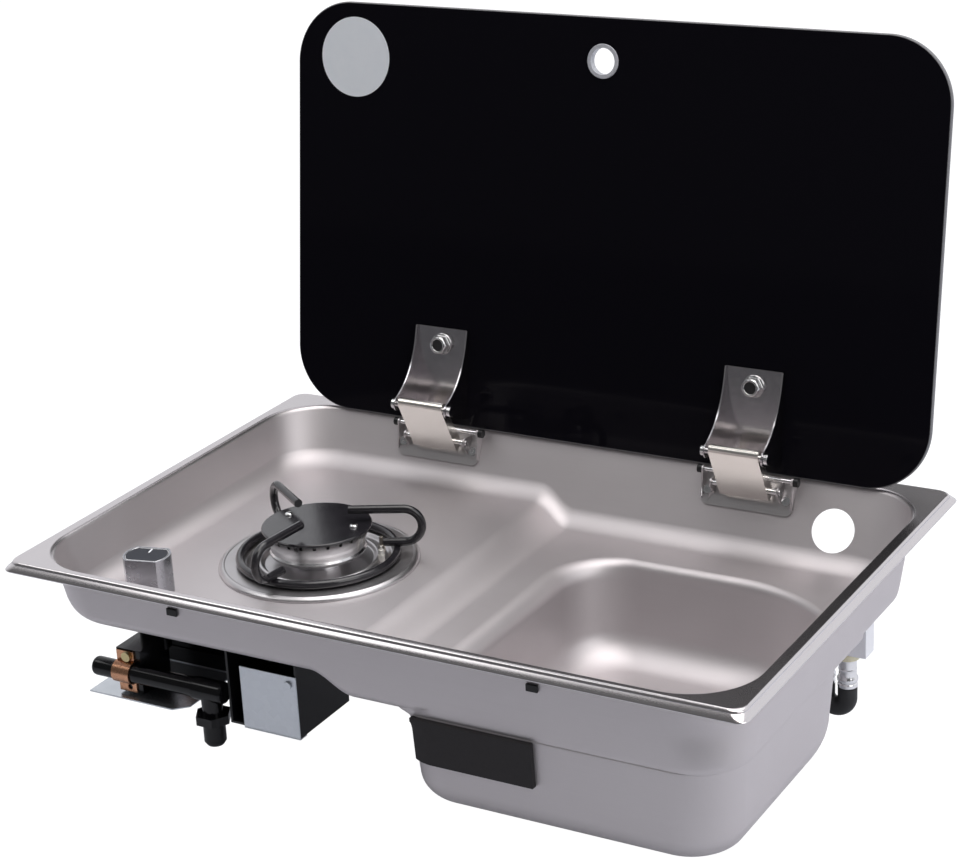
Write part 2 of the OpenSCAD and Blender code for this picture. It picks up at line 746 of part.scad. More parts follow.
module knob() {
    z0 = floor_z + knob_gap;
    top = z0 + knob_h;
    color("#a9abb0") at_knob() rotate(knob_turn) difference() {
        union() {
            translate([0, 0, z0]) cylinder(r = knob_r, h = skirt_h - 1);
            translate([0, 0, z0 + skirt_h - 1]) cylinder(r1 = knob_r, r2 = knob_r - 1, h = 1);
            translate([0, 0, z0]) linear_extrude(knob_h) knob_plan(0);
        }
        translate([0, 0, top - inlay_t]) linear_extrude(5) knob_plan(1.6);
        translate([0, 0, z0 - 1]) difference() {
            cylinder(r = knob_r - 2.5, h = skirt_h - 2);
            cylinder(r = spindle_r + 3, h = skirt_h);
        }
        rotate(-knob_turn) difference() {
            translate([0, 0, z0 - 1]) cylinder(r = spindle_r + 0.1, h = knob_h - 5 + 0.2);
            translate([-spindle_r, spindle_r - 1.1, top - 20]) cube([2 * spindle_r, 4, 20]);
        }
    }
}

module knob_inlay() {
    z = floor_z + knob_gap + knob_h - inlay_t;
    color("#4b4d55") at_knob() rotate(knob_turn) translate([0, 0, z]) linear_extrude(inlay_t - 0.2) knob_plan(1.8);
}

// Rail that brings the gas to the valve, with its feed elbow's seat on the right
module gas_rail() {
    color("#1a1a1c") translate([0, rail_y, lip_h + rail_z]) {
        difference() {
            rod_x(rail_d / 2, rail_len, rail_x0 + rail_len / 2);
            rod_x(rail_d / 2 - 2, rail_len - 16, rail_x0 + rail_len / 2 - 9);
        }
    }
}

module rail_end_plug() {
    color("#2a2a2c") translate([0, rail_y, lip_h + rail_z]) {
        rod_x(rail_d / 2 - 2.1, 8, rail_x0 + 4);
        translate([rail_x0 - 2.2, 0, 0]) rotate([0, 90, 0]) cylinder(r1 = rail_d / 2 - 1, r2 = rail_d / 2, h = 2);
    }
}

// Saddle strap that holds the valve on the rail
module rail_clamp() {
    r = rail_d / 2 + 0.1;
    x0 = -knob_x - clamp_w / 2 - 2;
    color("#c58a58") translate([0, 0, lip_h + rail_z]) difference() {
        union() {
            intersection() {
                translate([0, rail_y, 0]) rod_x(r + clamp_t, clamp_w, x0 + clamp_w / 2);
                translate([x0, rail_y - 20, -20]) cube([clamp_w, saddle_y - play - rail_y + 20, 40]);
            }
            translate([x0, saddle_y - play - clamp_t, r]) cube([clamp_w, clamp_t, clamp_top - r]);
            translate([x0, saddle_y - play - clamp_t, -clamp_top]) cube([clamp_w, clamp_t, clamp_top - r]);
        }
        translate([0, rail_y, 0]) rod_x(r, clamp_w * 2, x0 + clamp_w / 2);
        for (s = [-1, 1]) translate([-knob_x, saddle_y - 10, s * (clamp_top - 4)])
            rotate([-90, 0, 0]) cylinder(r = screw_r + 0.2, h = 20);
    }
}

module clamp_screw() {
    y = saddle_y - play - clamp_t;
    color("#caa14e") translate([-knob_x, y, lip_h + rail_z + clamp_top - 4]) {
        rotate([90, 0, 0]) cylinder(r = 4, h = 2.6);
        rotate([-90, 0, 0]) cylinder(r = screw_r - 0.05, h = 11);
    }
}

// Elbow that takes the gas supply from below
module inlet_elbow() {
    wide = rail_d / 2 + 1.2;
    color("#202024") translate([elbow_x, rail_y, lip_h + rail_z]) difference() {
        union() {
            translate([-14, 0, 0]) rotate([0, 90, 0]) rotate_extrude() polygon([
                [0, 0], [wide - 0.6, 0], [wide, 0.6], [wide, 25], [wide - 1.2, 27], [0, 27]
            ]);
            translate([0, 0, -18]) cylinder(r = 8, h = 18);
            translate([0, 0, -25]) cylinder(r = inlet_hex / 2 / cos(30), h = 7, $fn = 6);
            translate([0, 0, -41]) cylinder(r = inlet_d / 2, h = 18);
            translate([0, 0, -44]) cylinder(r1 = inlet_d / 2 - 2, r2 = inlet_d / 2, h = 3);
        }
        rod_x(rail_d / 2 + 0.05, 30, -10);
        translate([0, 0, -50]) cylinder(r = 4, h = 45);
    }
}

// Black plate that hangs from the hob floor behind the valve and reaches the housing
module shelf_back_plate() {
    t = 1.2;
    x0 = rail_x0 + 2;
    wide = box_x0 - play - x0;
    top = lip_h + floor_z - sheet - play;
    color("#18181a") difference() {
        union() {
            translate([x0, shelf_back - t, lip_h + shelf_z + 1]) cube([wide, t, top - lip_h - shelf_z - 1]);
            translate([x0, shelf_back - t, top - t]) cube([wide - 20, 14, t]);
        }
        translate([-knob_x - 10, shelf_back - 5, lip_h + mix_z - 10]) cube([20, 10, 20]);
        for (u = [0.15, 0.7]) translate([x0 + u * wide, shelf_back + 6, top - 5]) cylinder(r = screw_r + 0.2, h = 10);
    }
}

// Galvanised shelf under the rail, with its rear edge turned up along the black plate
module rail_shelf() {
    t = 1.2;
    x0 = rail_x0 - 7;
    front = rail_y - 6;
    deep = shelf_back - t - play - front;
    color("#9ea1a6") {
        translate([x0, front, lip_h + shelf_z]) linear_extrude(t) polygon([
            [0, 0], [shelf_w - 10, 0], [shelf_w, 10], [shelf_w, deep], [0, deep]
        ]);
        translate([x0, front + deep - t, lip_h + shelf_z]) cube([shelf_w, t, 14]);
    }
}

// Housing of the ignition unit
module ignition_box() {
    color("#151517") translate([box_x0, box_y0, lip_h + box_z1 - box_h]) difference() {
        cube([box_w, box_d, box_h]);
        translate([2, -1, 2]) cube([box_w - 4, box_d - 1, box_h - 4]);
        translate([0, box_d - 12, 30]) rotate([0, -90, 0]) translate([0, 0, -6]) cylinder(r = 4, h = 12);
    }
}

// Galvanised plate that closes the housing's front
module box_cover() {
    color("#aab0b8") translate([box_x0 + box_w - cover_side, box_y0 - 1 - play, lip_h + box_z1 - box_h]) difference() {
        union() {
            cube([cover_side, 1, cover_side]);
            translate([0, 0, -1]) cube([cover_side, 9, 1 - play]);
        }
        translate([cover_side - 7, -5, cover_side - 7]) rotate([-90, 0, 0]) cylinder(r = screw_r + 0.2, h = 10);
    }
}

module cover_screw() {
    color("#8d9096")
        translate([box_x0 + box_w - 7, box_y0 - 1 - play, lip_h + box_z1 - box_h + cover_side - 7]) {
            rotate([90, 0, 0]) cylinder(r = 3.2, h = 1.8);
            rotate([-90, 0, 0]) cylinder(r = screw_r, h = 6);
        }
}

// Plate outline in the lid's frame, from its front face y over a thickness t
module lid_sheet(y, t) {
    translate([0, y + t, lid_rise + lid_h / 2]) rotate([90, 0, 0]) linear_extrude(t) children();
}

// A hole through the glass, given across from the middle and up from the pin
module lid_hole(x, z, r) {
    translate([x, lid_back - 5, z]) rotate([-90, 0, 0]) cylinder(r = r, h = lid_t + 10);
}

finger_z = lid_rise + lid_h - finger_drop;

module lid_glass() {
    color("#101014") on_lid() difference() {
        lid_sheet(lid_back, lid_t) round_rect(lid_w, lid_h, lid_corner);
        for (s = [-1, 1]) lid_hole(s * hinge_x, glass_bolt_z, glass_hole_r);
        lid_hole(0, finger_z, grommet_r - 1.8);
    }
}

// Plastic grommet that lines the finger hole
module lid_grommet() {
    lip = 1;
    color("#c9cbd2") on_lid() translate([0, lid_back, finger_z]) rotate([-90, 0, 0]) rotate_extrude() polygon([
        [finger_r, -lip], [grommet_r - 0.4, -lip], [grommet_r, -0.05], [grommet_r - 1.85, -0.05],
        [grommet_r - 1.85, lid_t + 0.05], [grommet_r, lid_t + 0.05], [grommet_r - 0.4, lid_t + lip],
        [finger_r, lid_t + lip]
    ]);
}

module round_sticker() {
    color("#e8edf3") on_lid() translate([-sticker_x, lid_back, lid_rise + sticker_up]) rotate([90, 0, 0]) cylinder(r = sticker_r, h = 0.2);
}

// Upper end of the brackets in the lid's frame
bracket_top = lid_rise + bracket_h;
web_y = lid_back - gasket_t - hinge_sheet;

// Rubber sheets between the brackets and the glass
module lid_gaskets() {
    color("#1b1b1d") on_lid() for (s = [-1, 1]) difference() {
        translate([s * hinge_x - bracket_w / 2 + 1, lid_back - gasket_t, lid_rise + 8])
            cube([bracket_w - 2, gasket_t, bracket_h - 9]);
        lid_hole(s * hinge_x, glass_bolt_z, glass_hole_r);
    }
}

// Side view of a bracket's cheek: its front edge sweeps from the top to the bolt
function sweep(t, a, b, c) = a * pow(1 - t, 2) + 2 * b * t * (1 - t) + c * pow(t, 2);
module cheek_plan() {
    nose = 6;
    difference() {
        union() {
            polygon(concat(
                [[web_y + hinge_sheet, lid_rise + 7.5], [web_y + hinge_sheet, bracket_top], [web_y - 1.5, bracket_top]],
                [for (k = [0 : 12])
                    sweep(k / 12, [web_y - 2, bracket_top - 2], [web_y - 6.5, 52], [bolt_y - 3, bolt_z + 5.2])],
                [[bolt_y + 2.5, bolt_z - 5.4], [2, lid_rise + 8]]));
            translate([bolt_y, bolt_z]) circle(nose);
        }
        translate([bolt_y, bolt_z]) circle(screw_r + 0.6);
    }
}

// U-shaped bracket that clamps the glass
module bracket(x) {
    color("#c9c6c1") on_lid() translate([x, 0, 0]) {
        difference() {
            translate([-bracket_w / 2, web_y, lid_rise + 7.5]) cube([bracket_w, hinge_sheet, bracket_h - 7.5]);
            translate([0, web_y - 5, glass_bolt_z]) rotate([-90, 0, 0]) cylinder(r = 3.2, h = 10);
        }
        for (s = [-1, 1])
            side_plate(s * (bracket_w - hinge_sheet) / 2 - hinge_sheet / 2, hinge_sheet) cheek_plan();
    }
}

module left_bracket() {
    bracket(-hinge_x);
}

module right_bracket() {
    bracket(hinge_x);
}

// Hexagon bolts through the brackets and the glass
module glass_bolts() {
    color("#d4d4d8") on_lid() for (s = [-1, 1]) translate([s * hinge_x, web_y, glass_bolt_z]) {
        rotate([90, 0, 0]) cylinder(r = 9, h = 1);
        translate([0, -1, 0]) rotate([90, 0, 0]) cylinder(r = 8, h = 6.5, $fn = 6);
        rotate([-90, 0, 0]) cylinder(r = 3, h = 13);
    }
}

module glass_nuts() {
    y = lid_back + lid_t + play;
    color("#d4d4d8") on_lid() for (s = [-1, 1]) translate([s * hinge_x, y, glass_bolt_z]) difference() {
        union() {
            rotate([-90, 0, 0]) cylinder(r = 9, h = 1);
            translate([0, 1, 0]) rotate([-90, 0, 0]) cylinder(r = 6.9, h = 4.5, $fn = 6);
        }
        translate([0, -1, 0]) rotate([-90, 0, 0]) cylinder(r = 3.05, h = 9);
    }
}

// Cover flap: its front plate runs from the cross bolt down past the hinge pin
flap_foot_y = -0.7;
flap_foot_z = -7.7;
module flap_cheek() {
    difference() {
        union() {
            polygon([[bolt_y, bolt_z + 3], [bolt_y - 4.6, bolt_z], [flap_foot_y - 0.6, flap_foot_z],
                [flap_foot_y + 2.4, flap_foot_z], [4.6, -2], [3.6, 3.6], [bolt_y + 4, bolt_z]]);
            circle(5);
            translate([bolt_y, bolt_z]) circle(4);
        }
        circle(pin_r + pin_gap);
        translate([bolt_y, bolt_z]) circle(screw_r + 0.6);
    }
}
module flap_plate_plan() {
    polygon([[bolt_y - 4.6, bolt_z + 1.5], [bolt_y - 4.6, bolt_z], [flap_foot_y - 0.6, flap_foot_z],
        [flap_foot_y + 0.6, flap_foot_z], [bolt_y - 3.3, bolt_z], [bolt_y - 3.3, bolt_z + 1.5]]);
}
module flap(x) {
    color("#d8d2c6") on_lid() translate([x, 0, 0]) {
        side_plate(-flap_w / 2, flap_w) flap_plate_plan();
        for (s = [-1, 1])
            side_plate(s * (flap_w - hinge_sheet) / 2 - hinge_sheet / 2, hinge_sheet) flap_cheek();
        side_plate(-flap_w / 2, flap_w) difference() {
            translate([bolt_y - 0.7, bolt_z + 2]) circle(4.1);
            translate([bolt_y, bolt_z]) circle(screw_r + 0.6);
        }
    }
}

module left_flap() {
    flap(-hinge_x);
}

module right_flap() {
    flap(hinge_x);
}

// Cross bolts that join each flap to its bracket
module bracket_bolts() {
    color("#d4d4d8") on_lid() for (s = [-1, 1]) translate([s * hinge_x, bolt_y, bolt_z]) {
        rod_x(screw_r + 0.5, bracket_w + 4);
        for (u = [-1, 1]) rod_x(4.4, 3.2, u * (bracket_w / 2 + play + 1.6));
    }
}

// Base plate on the rear wall, with an ear at each end for the two cross pins
module hinge_base(x) {
    color("#b3b0ac") difference() {
        union() {
            on_rear_wall(x, -base_top) translate([0, -base_len / 2, play / 2]) linear_extrude(base_t)
                round_rect(base_w, base_len, 6);
            intersection() {
                union() {
                    for (s = [-1, 1]) side_plate(x + s * ear_x - ear_t / 2, ear_t) ear_plan();
                    for (s = [-1, 1]) side_plate(x + s * outer_ear_x - ear_t / 2, ear_t) outer_ear_plan();
                }
                on_rear_wall(x, -base_top) translate([-base_w, -base_len, play / 2]) cube([2 * base_w, 60, 40]);
            }
        }
        for (u = [-1, 1]) on_rear_wall(x + u * base_screw_x, -base_screw_depth)
            translate([0, 0, -3]) cylinder(r = screw_r + 0.2, h = 12);
        translate([x, hinge_y, lip_h + hinge_z]) rod_x(pin_r, base_w + 20);
        translate([x, stop_y, lip_h + stop_z]) rod_x(stop_r, base_w + 20);
    }
}
module ear_plan() {
    translate([hinge_y, lip_h + hinge_z]) circle(4.2);
    polygon([[hinge_y - 3.8, lip_h + hinge_z - 1.8], [hinge_y - 1.8, lip_h + hinge_z + 3.8],
        [rec_y1 - 3, lip_h - 5], [rec_y1 - 12, lip_h - 22]]);
}
module outer_ear_plan() {
    translate([stop_y, lip_h + stop_z]) circle(3.4);
    polygon([[stop_y - 3, lip_h + stop_z - 1.6], [stop_y + 1, lip_h + stop_z + 3.2],
        [rec_y1 - 3, lip_h - 5], [rec_y1 - 14, lip_h - 25], [rec_y1 - 16.5, lip_h - 23]]);
}

module left_hinge_base() {
    hinge_base(-hinge_x);
}

module right_hinge_base() {
    hinge_base(hinge_x);
}

module hinge_pins() {
    color("#cfcfd2") for (s = [-1, 1]) translate([s * hinge_x, hinge_y, lip_h + hinge_z])
        rod_x(pin_r, 2 * ear_x + ear_t + 1.6);
}

module stop_pins() {
    color("#cfcfd2") for (s = [-1, 1]) translate([s * hinge_x, stop_y, lip_h + stop_z])
        rod_x(stop_r, 2 * outer_ear_x + ear_t + 5);
}

// Black caps on the ends of the stop pins
module pin_caps() {
    len = 2 * outer_ear_x + ear_t + 5;
    color("#141416") for (s = [-1, 1], u = [-1, 1])
        translate([s * hinge_x, stop_y, lip_h + stop_z]) difference() {
            rod_x(stop_r + 1.5, 4, u * (len / 2 - 0.5));
            rod_x(stop_r + 0.02, 3, u * (len / 2 - 1.5));
        }
}

// Socket screws that hold the hinge bases on the rear wall
module base_screws() {
    color("#d0d0d4") for (s = [-1, 1], u = [-1, 1])
        on_rear_wall(s * hinge_x + u * base_screw_x, -base_screw_depth) translate([0, 0, base_t + play / 2]) {
            difference() {
                cylinder(r = 3.6, h = 3);
                translate([0, 0, 1]) cylinder(r = 1.8, h = 3, $fn = 6);
            }
            translate([0, 0, -9]) cylinder(r = screw_r, h = 9);
        }
}

module base_nuts() {
    color("#b8b8bc") for (s = [-1, 1], u = [-1, 1])
        on_rear_wall(s * hinge_x + u * base_screw_x, -base_screw_depth)
            translate([0, 0, -sheet - play - 3.2]) difference() {
                cylinder(r = 4, h = 3.2, $fn = 6);
                translate([0, 0, -1]) cylinder(r = screw_r + 0.05, h = 6);
            }
}

// Hose connection under the ledge at the back right
module hose_block() {
    z1 = -ledge_depth - sheet - play;
    color("#e6e8ee") at_rim() difference() {
        translate([block_x0, block_y0, z1 - block_h]) cube([block_x1 - block_x0, block_d, block_h]);
        for (k = [0, 1]) translate([hose_x - k * hose_pitch, hose_y, z1 - block_h - 1])
            cylinder(r = ferrule_r - 2, h = 14);
    }
}

module hose_ring() {
    z = -ledge_depth - sheet - play - block_h;
    color("#d8c98a") at_rim() for (k = [0, 1]) translate([hose_x - k * hose_pitch, hose_y, z - 5 - play]) difference() {
        cylinder(r = ferrule_r + 2, h = 5);
        translate([0, 0, -1]) cylinder(r = ferrule_r - 1.95, h = 8);
    }
}

module hose_ferrules() {
    z = -ledge_depth - sheet - play - block_h;
    color("#c8c8cc") at_rim() for (k = [0, 1]) translate([hose_x - k * hose_pitch, hose_y, z]) {
        translate([0, 0, -5]) cylinder(r = ferrule_r - 2.05, h = 12);
        translate([0, 0, -5 - play - ferrule_h]) rotate_extrude() polygon([
            [0, 0], [ferrule_r + 0.4, 0], [ferrule_r + 0.4, 2.5], [ferrule_r - 0.4, 3.5], [ferrule_r + 0.8, 5.5],
            [ferrule_r + 0.8, 7.5], [ferrule_r - 0.4, 9.5], [ferrule_r - 0.4, 14], [ferrule_r, 15],
            [ferrule_r - 0.4, 16], [ferrule_r - 0.4, ferrule_h - 2], [ferrule_r, ferrule_h - 1], [ferrule_r, ferrule_h],
            [0, ferrule_h]
        ]);
    }
}

// Rubber hose that loops from one ferrule to the other
module loop_hose() {
    z = -ledge_depth - 2 * sheet - block_h - 5 - ferrule_h - play;
    color("#1a1a1c") at_rim() translate([hose_x - hose_pitch / 2, hose_y, z]) {
        for (s = [-1, 1]) translate([s * hose_pitch / 2, 0, -hose_leg]) cylinder(r = hose_d / 2, h = hose_leg);
        translate([0, 0, -hose_leg]) rotate([90, 0, 0]) rotate([0, 0, 180])
            rotate_extrude(angle = 180) translate([hose_pitch / 2, 0]) circle(hose_d / 2);
    }
}

// Waste fitting: strainer above the bowl's floor, gasket and tail below it
module waste_strainer() {
    z = -bowl_depth + 0.1;
    color("#d6d6da") at_rim() translate([waste_x, waste_y, z]) difference() {
        rotate_extrude() polygon([
            [0, -4], [waste_hole_r - 1.4, -4], [waste_hole_r - 0.6, 0], [waste_hole_r + 9, 0], [waste_hole_r + 8.4, 1.2],
            [waste_hole_r - 1, 1.4], [waste_hole_r - 4, -2.8], [0, -2.8]
        ]);
        for (a = [0 : 45 : 315]) rotate(a) translate([11, 0, -6]) cylinder(r = 2.6, h = 8);
        translate([0, 0, -6]) cylinder(r = 3.1, h = 8);
    }
}

module waste_gasket() {
    z = -bowl_depth - sheet - play - 2;
    color("#1c1c1e") at_rim() translate([waste_x, waste_y, z]) difference() {
        cylinder(r = waste_hole_r + 8, h = 2);
        translate([0, 0, -1]) cylinder(r = waste_hole_r, h = 4);
    }
}

module waste_body() {
    z = -bowl_depth - sheet - 2 * play - 2;
    cup_r = waste_hole_r + 8;
    tail_r = waste_tail_d / 2;
    color("#f0f0ee") at_rim() translate([waste_x, waste_y, z]) difference() {
        rotate_extrude() polygon([
            [0, -14], [3.2, -14], [waste_hole_r - 1, -3], [waste_hole_r - 1, 0], [cup_r, 0], [cup_r, -4],
            [tail_r + 4, -15], [tail_r, -17], [tail_r, -34], [0, -34]
        ]);
        translate([0, 0, -40]) cylinder(r = 2.4, h = 50);
        for (a = [45 : 90 : 315]) rotate(a) translate([6.5, 0, -40]) cylinder(r = 3, h = 50);
    }
}

module waste_screw() {
    color("#cfcfd3") at_rim() translate([waste_x, waste_y, -bowl_depth - 2.6]) {
        cylinder(r = 5, h = 1.6);
        translate([0, 0, -22]) cylinder(r = 2.3, h = 23);
    }
}

tray();
sink_bowl();
sound_pad();
front_plugs();
drip_ring();
burner_base();
burner_head();
burner_cap();
cap_screws();
pan_support();
spark_electrode();
flame_sensor();
mixing_tube();
injector();
feed_tube();
valve_body();
valve_plunger();
valve_spindle();
knob();
knob_inlay();
gas_rail();
rail_end_plug();
rail_clamp();
clamp_screw();
inlet_elbow();
rail_shelf();
shelf_back_plate();
ignition_box();
box_cover();
cover_screw();
lid_glass();
lid_grommet();
round_sticker();
lid_gaskets();
left_bracket();
right_bracket();
glass_bolts();
glass_nuts();
left_flap();
right_flap();
bracket_bolts();
left_hinge_base();
right_hinge_base();
hinge_pins();
stop_pins();
pin_caps();
base_screws();
base_nuts();
hose_block();
hose_ring();
hose_ferrules();
loop_hose();
waste_strainer();
waste_gasket();
waste_body();
waste_screw();
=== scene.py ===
"""Looks for the built-in stove and sink combination with a folding glass lid.

Lengths in the shape functions are millimetres from the top of the rim, as a maker would
measure them; solid_from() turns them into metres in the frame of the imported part.
"""
import math

import bmesh
import bpy
import numpy as np
from mathutils import Matrix, Vector
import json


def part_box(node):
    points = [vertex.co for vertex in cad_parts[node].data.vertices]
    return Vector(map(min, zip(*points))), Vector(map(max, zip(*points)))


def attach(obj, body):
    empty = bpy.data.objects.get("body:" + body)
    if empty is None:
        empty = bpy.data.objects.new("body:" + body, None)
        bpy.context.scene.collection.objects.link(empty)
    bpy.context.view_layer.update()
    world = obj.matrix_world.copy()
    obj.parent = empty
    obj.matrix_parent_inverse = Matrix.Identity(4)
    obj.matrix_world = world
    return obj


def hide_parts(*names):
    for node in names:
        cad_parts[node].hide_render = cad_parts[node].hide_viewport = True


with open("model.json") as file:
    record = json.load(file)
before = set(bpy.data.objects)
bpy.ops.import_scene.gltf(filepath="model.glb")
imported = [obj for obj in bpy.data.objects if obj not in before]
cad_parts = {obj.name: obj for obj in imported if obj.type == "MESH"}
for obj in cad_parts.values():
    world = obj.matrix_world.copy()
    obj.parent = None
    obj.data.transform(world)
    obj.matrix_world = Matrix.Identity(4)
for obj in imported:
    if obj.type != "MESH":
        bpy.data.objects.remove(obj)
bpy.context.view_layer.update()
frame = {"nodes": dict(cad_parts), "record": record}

MM = 0.001
RIM_TOP = 8.0

# Rim, its rolled lip, and the sheet's thickness
RIM_W, RIM_D, RIM_CORNER, RIM_EDGE, RIM_LEAN, LIP_SWELL, HEM = 608.0, 406.0, 8.0, 2.5, 3.5, 0.4, 1.2
HEM_FROM, LIP_WIDEST, LIP_IN, FLAT_IN = 0.74, 0.8, 5.5, 1.6
SHEET = 1.0

# Recess: sides, depths, the step of its floor, and each wall's lean and foot
REC_X0, REC_X1, REC_Y0, REC_Y1 = -289.0, 289.0, -191.5, 183.0
REC_CORNER, REC_EDGE = 52.0, 3.0
HOB_DEPTH, LEDGE_DEPTH, BOWL_DEPTH = 45.0, 60.0, 136.0
STEP_X, STEP_W = -23.0, 36.0
LEAN_LEFT, LEAN_RIGHT, LEAN_FRONT, LEAN_REAR = 0.27, 0.067, 0.066, 0.55
FOOT_LEFT, FOOT_RIGHT, FOOT_FRONT, FOOT_REAR = 16.0, 5.0, 8.0, 13.0

# Bowl: sides at its opening, corners from the front left round, leans left, right, front and rear
BOWL_X0, BOWL_X1, BOWL_Y0, BOWL_Y1 = 31.0, 280.0, -186.9, 105.0
BOWL_CORNERS, BOWL_FOOT, BOWL_EDGE, BOWL_LEFT_EDGE = (27.0, 38.0, 118.0, 49.0), 22.0, 6.0, 14.0
BOWL_LEANS, BOWL_RIGHT_EDGE, BOWL_FRONT_EDGE = (0.10, 0.04, 0.05, 0.25), 2.0, 0.4
WASTE_X, WASTE_Y, WASTE_R = 155.5, -40.95, 22.0
SEAM_Z, PAD_H, PAD_T, PAD_X0, PAD_X1, PAD_EDGE = -62.0, 35.0, 4.5, 44.0, 140.0, 1.2
COLLAR_TOP, COLLAR_FOOT, COLLAR_TIGHTER, COLLAR_TUCK = -28.0, -61.3, 12.0, 0.5
TAP_X, TAP_DEPTH, TAP_R = 216.0, 33.5, 17.5

# Burner, knob and gas inlet
BURNER, BURNER_HOLE_R = (-139.5, -21.0), 57.0
DRIP_R, NECK_R, BEAD_R, DISH_Z, PROBE_RING, PROBE_TURNS = 79.5, 22.2, 46.5, -43.8, 50.0, (20, 42)
KNOB, SPINDLE_HOLE_R = (-224.0, -128.0), 9.0
KNOB_TOP, KNOB_R, KNOB_FLAT, KNOB_TURN = -10.3, 16.7, 11.7, math.radians(14)
INLET, INLET_R, PITCH = (-147.0, -165.0, -93.0), 8.52, 1.8
SHELF_T = 1.7

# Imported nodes: metres within which points are one, degrees that are flat or an edge, plain break
WELD, FLAT_ANGLE, EDGE_ANGLE, PLAIN_BREAK = 2e-6, 1.5, 34, 0.25

# Lid, in its own coordinates from the hinge pin up
HINGE_X = 141.5
PIN_Y, PIN_Z, LID_LEAN = 166.5, -9.5, math.radians(7.85)
LID_BACK, LID_RISE, LID_W, LID_H, LID_T, LID_CORNER = 10.4, 11.0, 573.0, 347.0, 5.0, 52.0
BOLT_FACE, BOLT_UP, BOLT_HOLE_R, FINGER_DOWN, FINGER_R, GRIND, GROUND = 0.9, 80.0, 4.2, 34.5, 12.0, 1.2, 0.9

# Camera and room, as fitted to the photograph
LENS, SHIFT = 90.60, (0.00224, 0.01423)
CAMERA_PLACE = (862.5, -1456.5, 728.4)
CAMERA_RIGHT, CAMERA_BACK = (0.8689, 0.4924, -0.0501), (0.4756, -0.8026, 0.3602)
FLOOR_HALF, FLOOR_Z, FLOOR_FRONT, FLOOR_BACK = 6, -0.172, (0.03, 0.03, 0.035), (0.70, 0.72, 0.775)
ROOM_COLOUR, ROOM_FRONT, ROOM_BACK = (0.955, 0.965, 1.0), 0.07, 0.97
CARD_WAY, CARD_LEVEL = (-0.22, 0.85, 0.48), 0.03

# Soft boxes: name, place and size in metres, power, colour
LAMPS = (("top", (0.35, 0.1, 2.3), (2.4, 1.8), 42, (1.0, 0.97, 0.955)),
         ("key", (-1.5, -0.9, 2.2), (1.3, 1.0), 9, (1, 1, 1)),
         ("fill", (1.9, -0.6, 1.3), (1.2, 1.4), 12, (1, 1, 1)))


# ---------------------------------------------------------------- finishes

class Flow:
    """A socket's value. Its operators add Math nodes, so that shader sums read as sums."""

    def __init__(self, graph, socket):
        self.graph, self.socket = graph, socket

    def _math(self, operation, *values):
        return self.graph.node("ShaderNodeMath", {"operation": operation}, *values)

    def __add__(self, other):
        return self._math("ADD", self, other)

    def __sub__(self, other):
        return self._math("SUBTRACT", self, other)

    def __rsub__(self, other):
        return self._math("SUBTRACT", other, self)

    def __mul__(self, other):
        return self._math("MULTIPLY", self, other)

    def __pow__(self, other):
        return self._math("POWER", self, other)

    def __rpow__(self, other):
        return self._math("POWER", other, self)

    def size(self):
        """The value without its sign."""
        return self._math("ABSOLUTE", self)

    def most(self, other):
        """The greater of two values."""
        return self._math("MAXIMUM", self, other)

    def run(self, low, high, start=0.0, end=1.0, course="SMOOTHSTEP"):
        """Goes from start, where the flow is low, to end, where it is high."""
        return self.graph.node("ShaderNodeMapRange", {"interpolation_type": course}, self, low, high, start, end)

    def above(self, level, soft):
        """0 under the level and 1 over it, with a soft step between."""
        return self.run(level - soft, level + soft)

    __radd__, __rmul__ = __add__, __mul__


class Nodes:
    """A node tree that is built from expressions on flows."""

    def __init__(self, tree):
        self.tree = tree
        tree.nodes.clear()

    def feed(self, socket, value):
        """Puts a number or colour on a socket, or links a flow to it."""
        if isinstance(value, Flow):
            self.tree.links.new(value.socket, socket)
        else:
            socket.default_value = value

    def node(self, kind, settings, *values, out=0):
        """Adds a node: settings first, then the values or flows of its sockets in order, with None
        where a socket stays as it is. Gives the flow of one of its outputs, where it has any."""
        made = self.tree.nodes.new(kind)
        for key, value in settings.items():
            setattr(made, key, value)
        for socket, value in zip(made.inputs, values):
            if value is not None:
                self.feed(socket, value)
        return Flow(self, made.outputs[out]) if made.outputs else None

    def mix(self, share, *colours):
        """A colour between two, by share. A Mix node's colours are its seventh and eighth sockets."""
        ends = [(*c, 1.0) if isinstance(c, tuple) else c for c in colours]
        return self.node("ShaderNodeMix", {"data_type": "RGBA"}, share, *[None] * 5, *ends, out=2)

    def at(self, source="Object"):
        """The surface point in metres on the piece, or the direction in a world."""
        return self.node("ShaderNodeTexCoord", {}, out=source)

    def parts(self, source="Object"):
        """That point's x, y and z as flows."""
        split = self.node("ShaderNodeSeparateXYZ", {}, self.at(source)).socket.node
        return [Flow(self, output) for output in split.outputs]

    def white_share(self, camera, glossy):
        """How much of the plain white background a ray sees: camera rays, rays through glass and,
        in part, mirrored rays."""
        seen, shiny, through = (self.node("ShaderNodeLightPath", {}, out="Is %s Ray" % kind)
                                for kind in ("Camera", "Glossy", "Transmission"))
        return (seen.most(through) * camera).most(shiny * glossy)


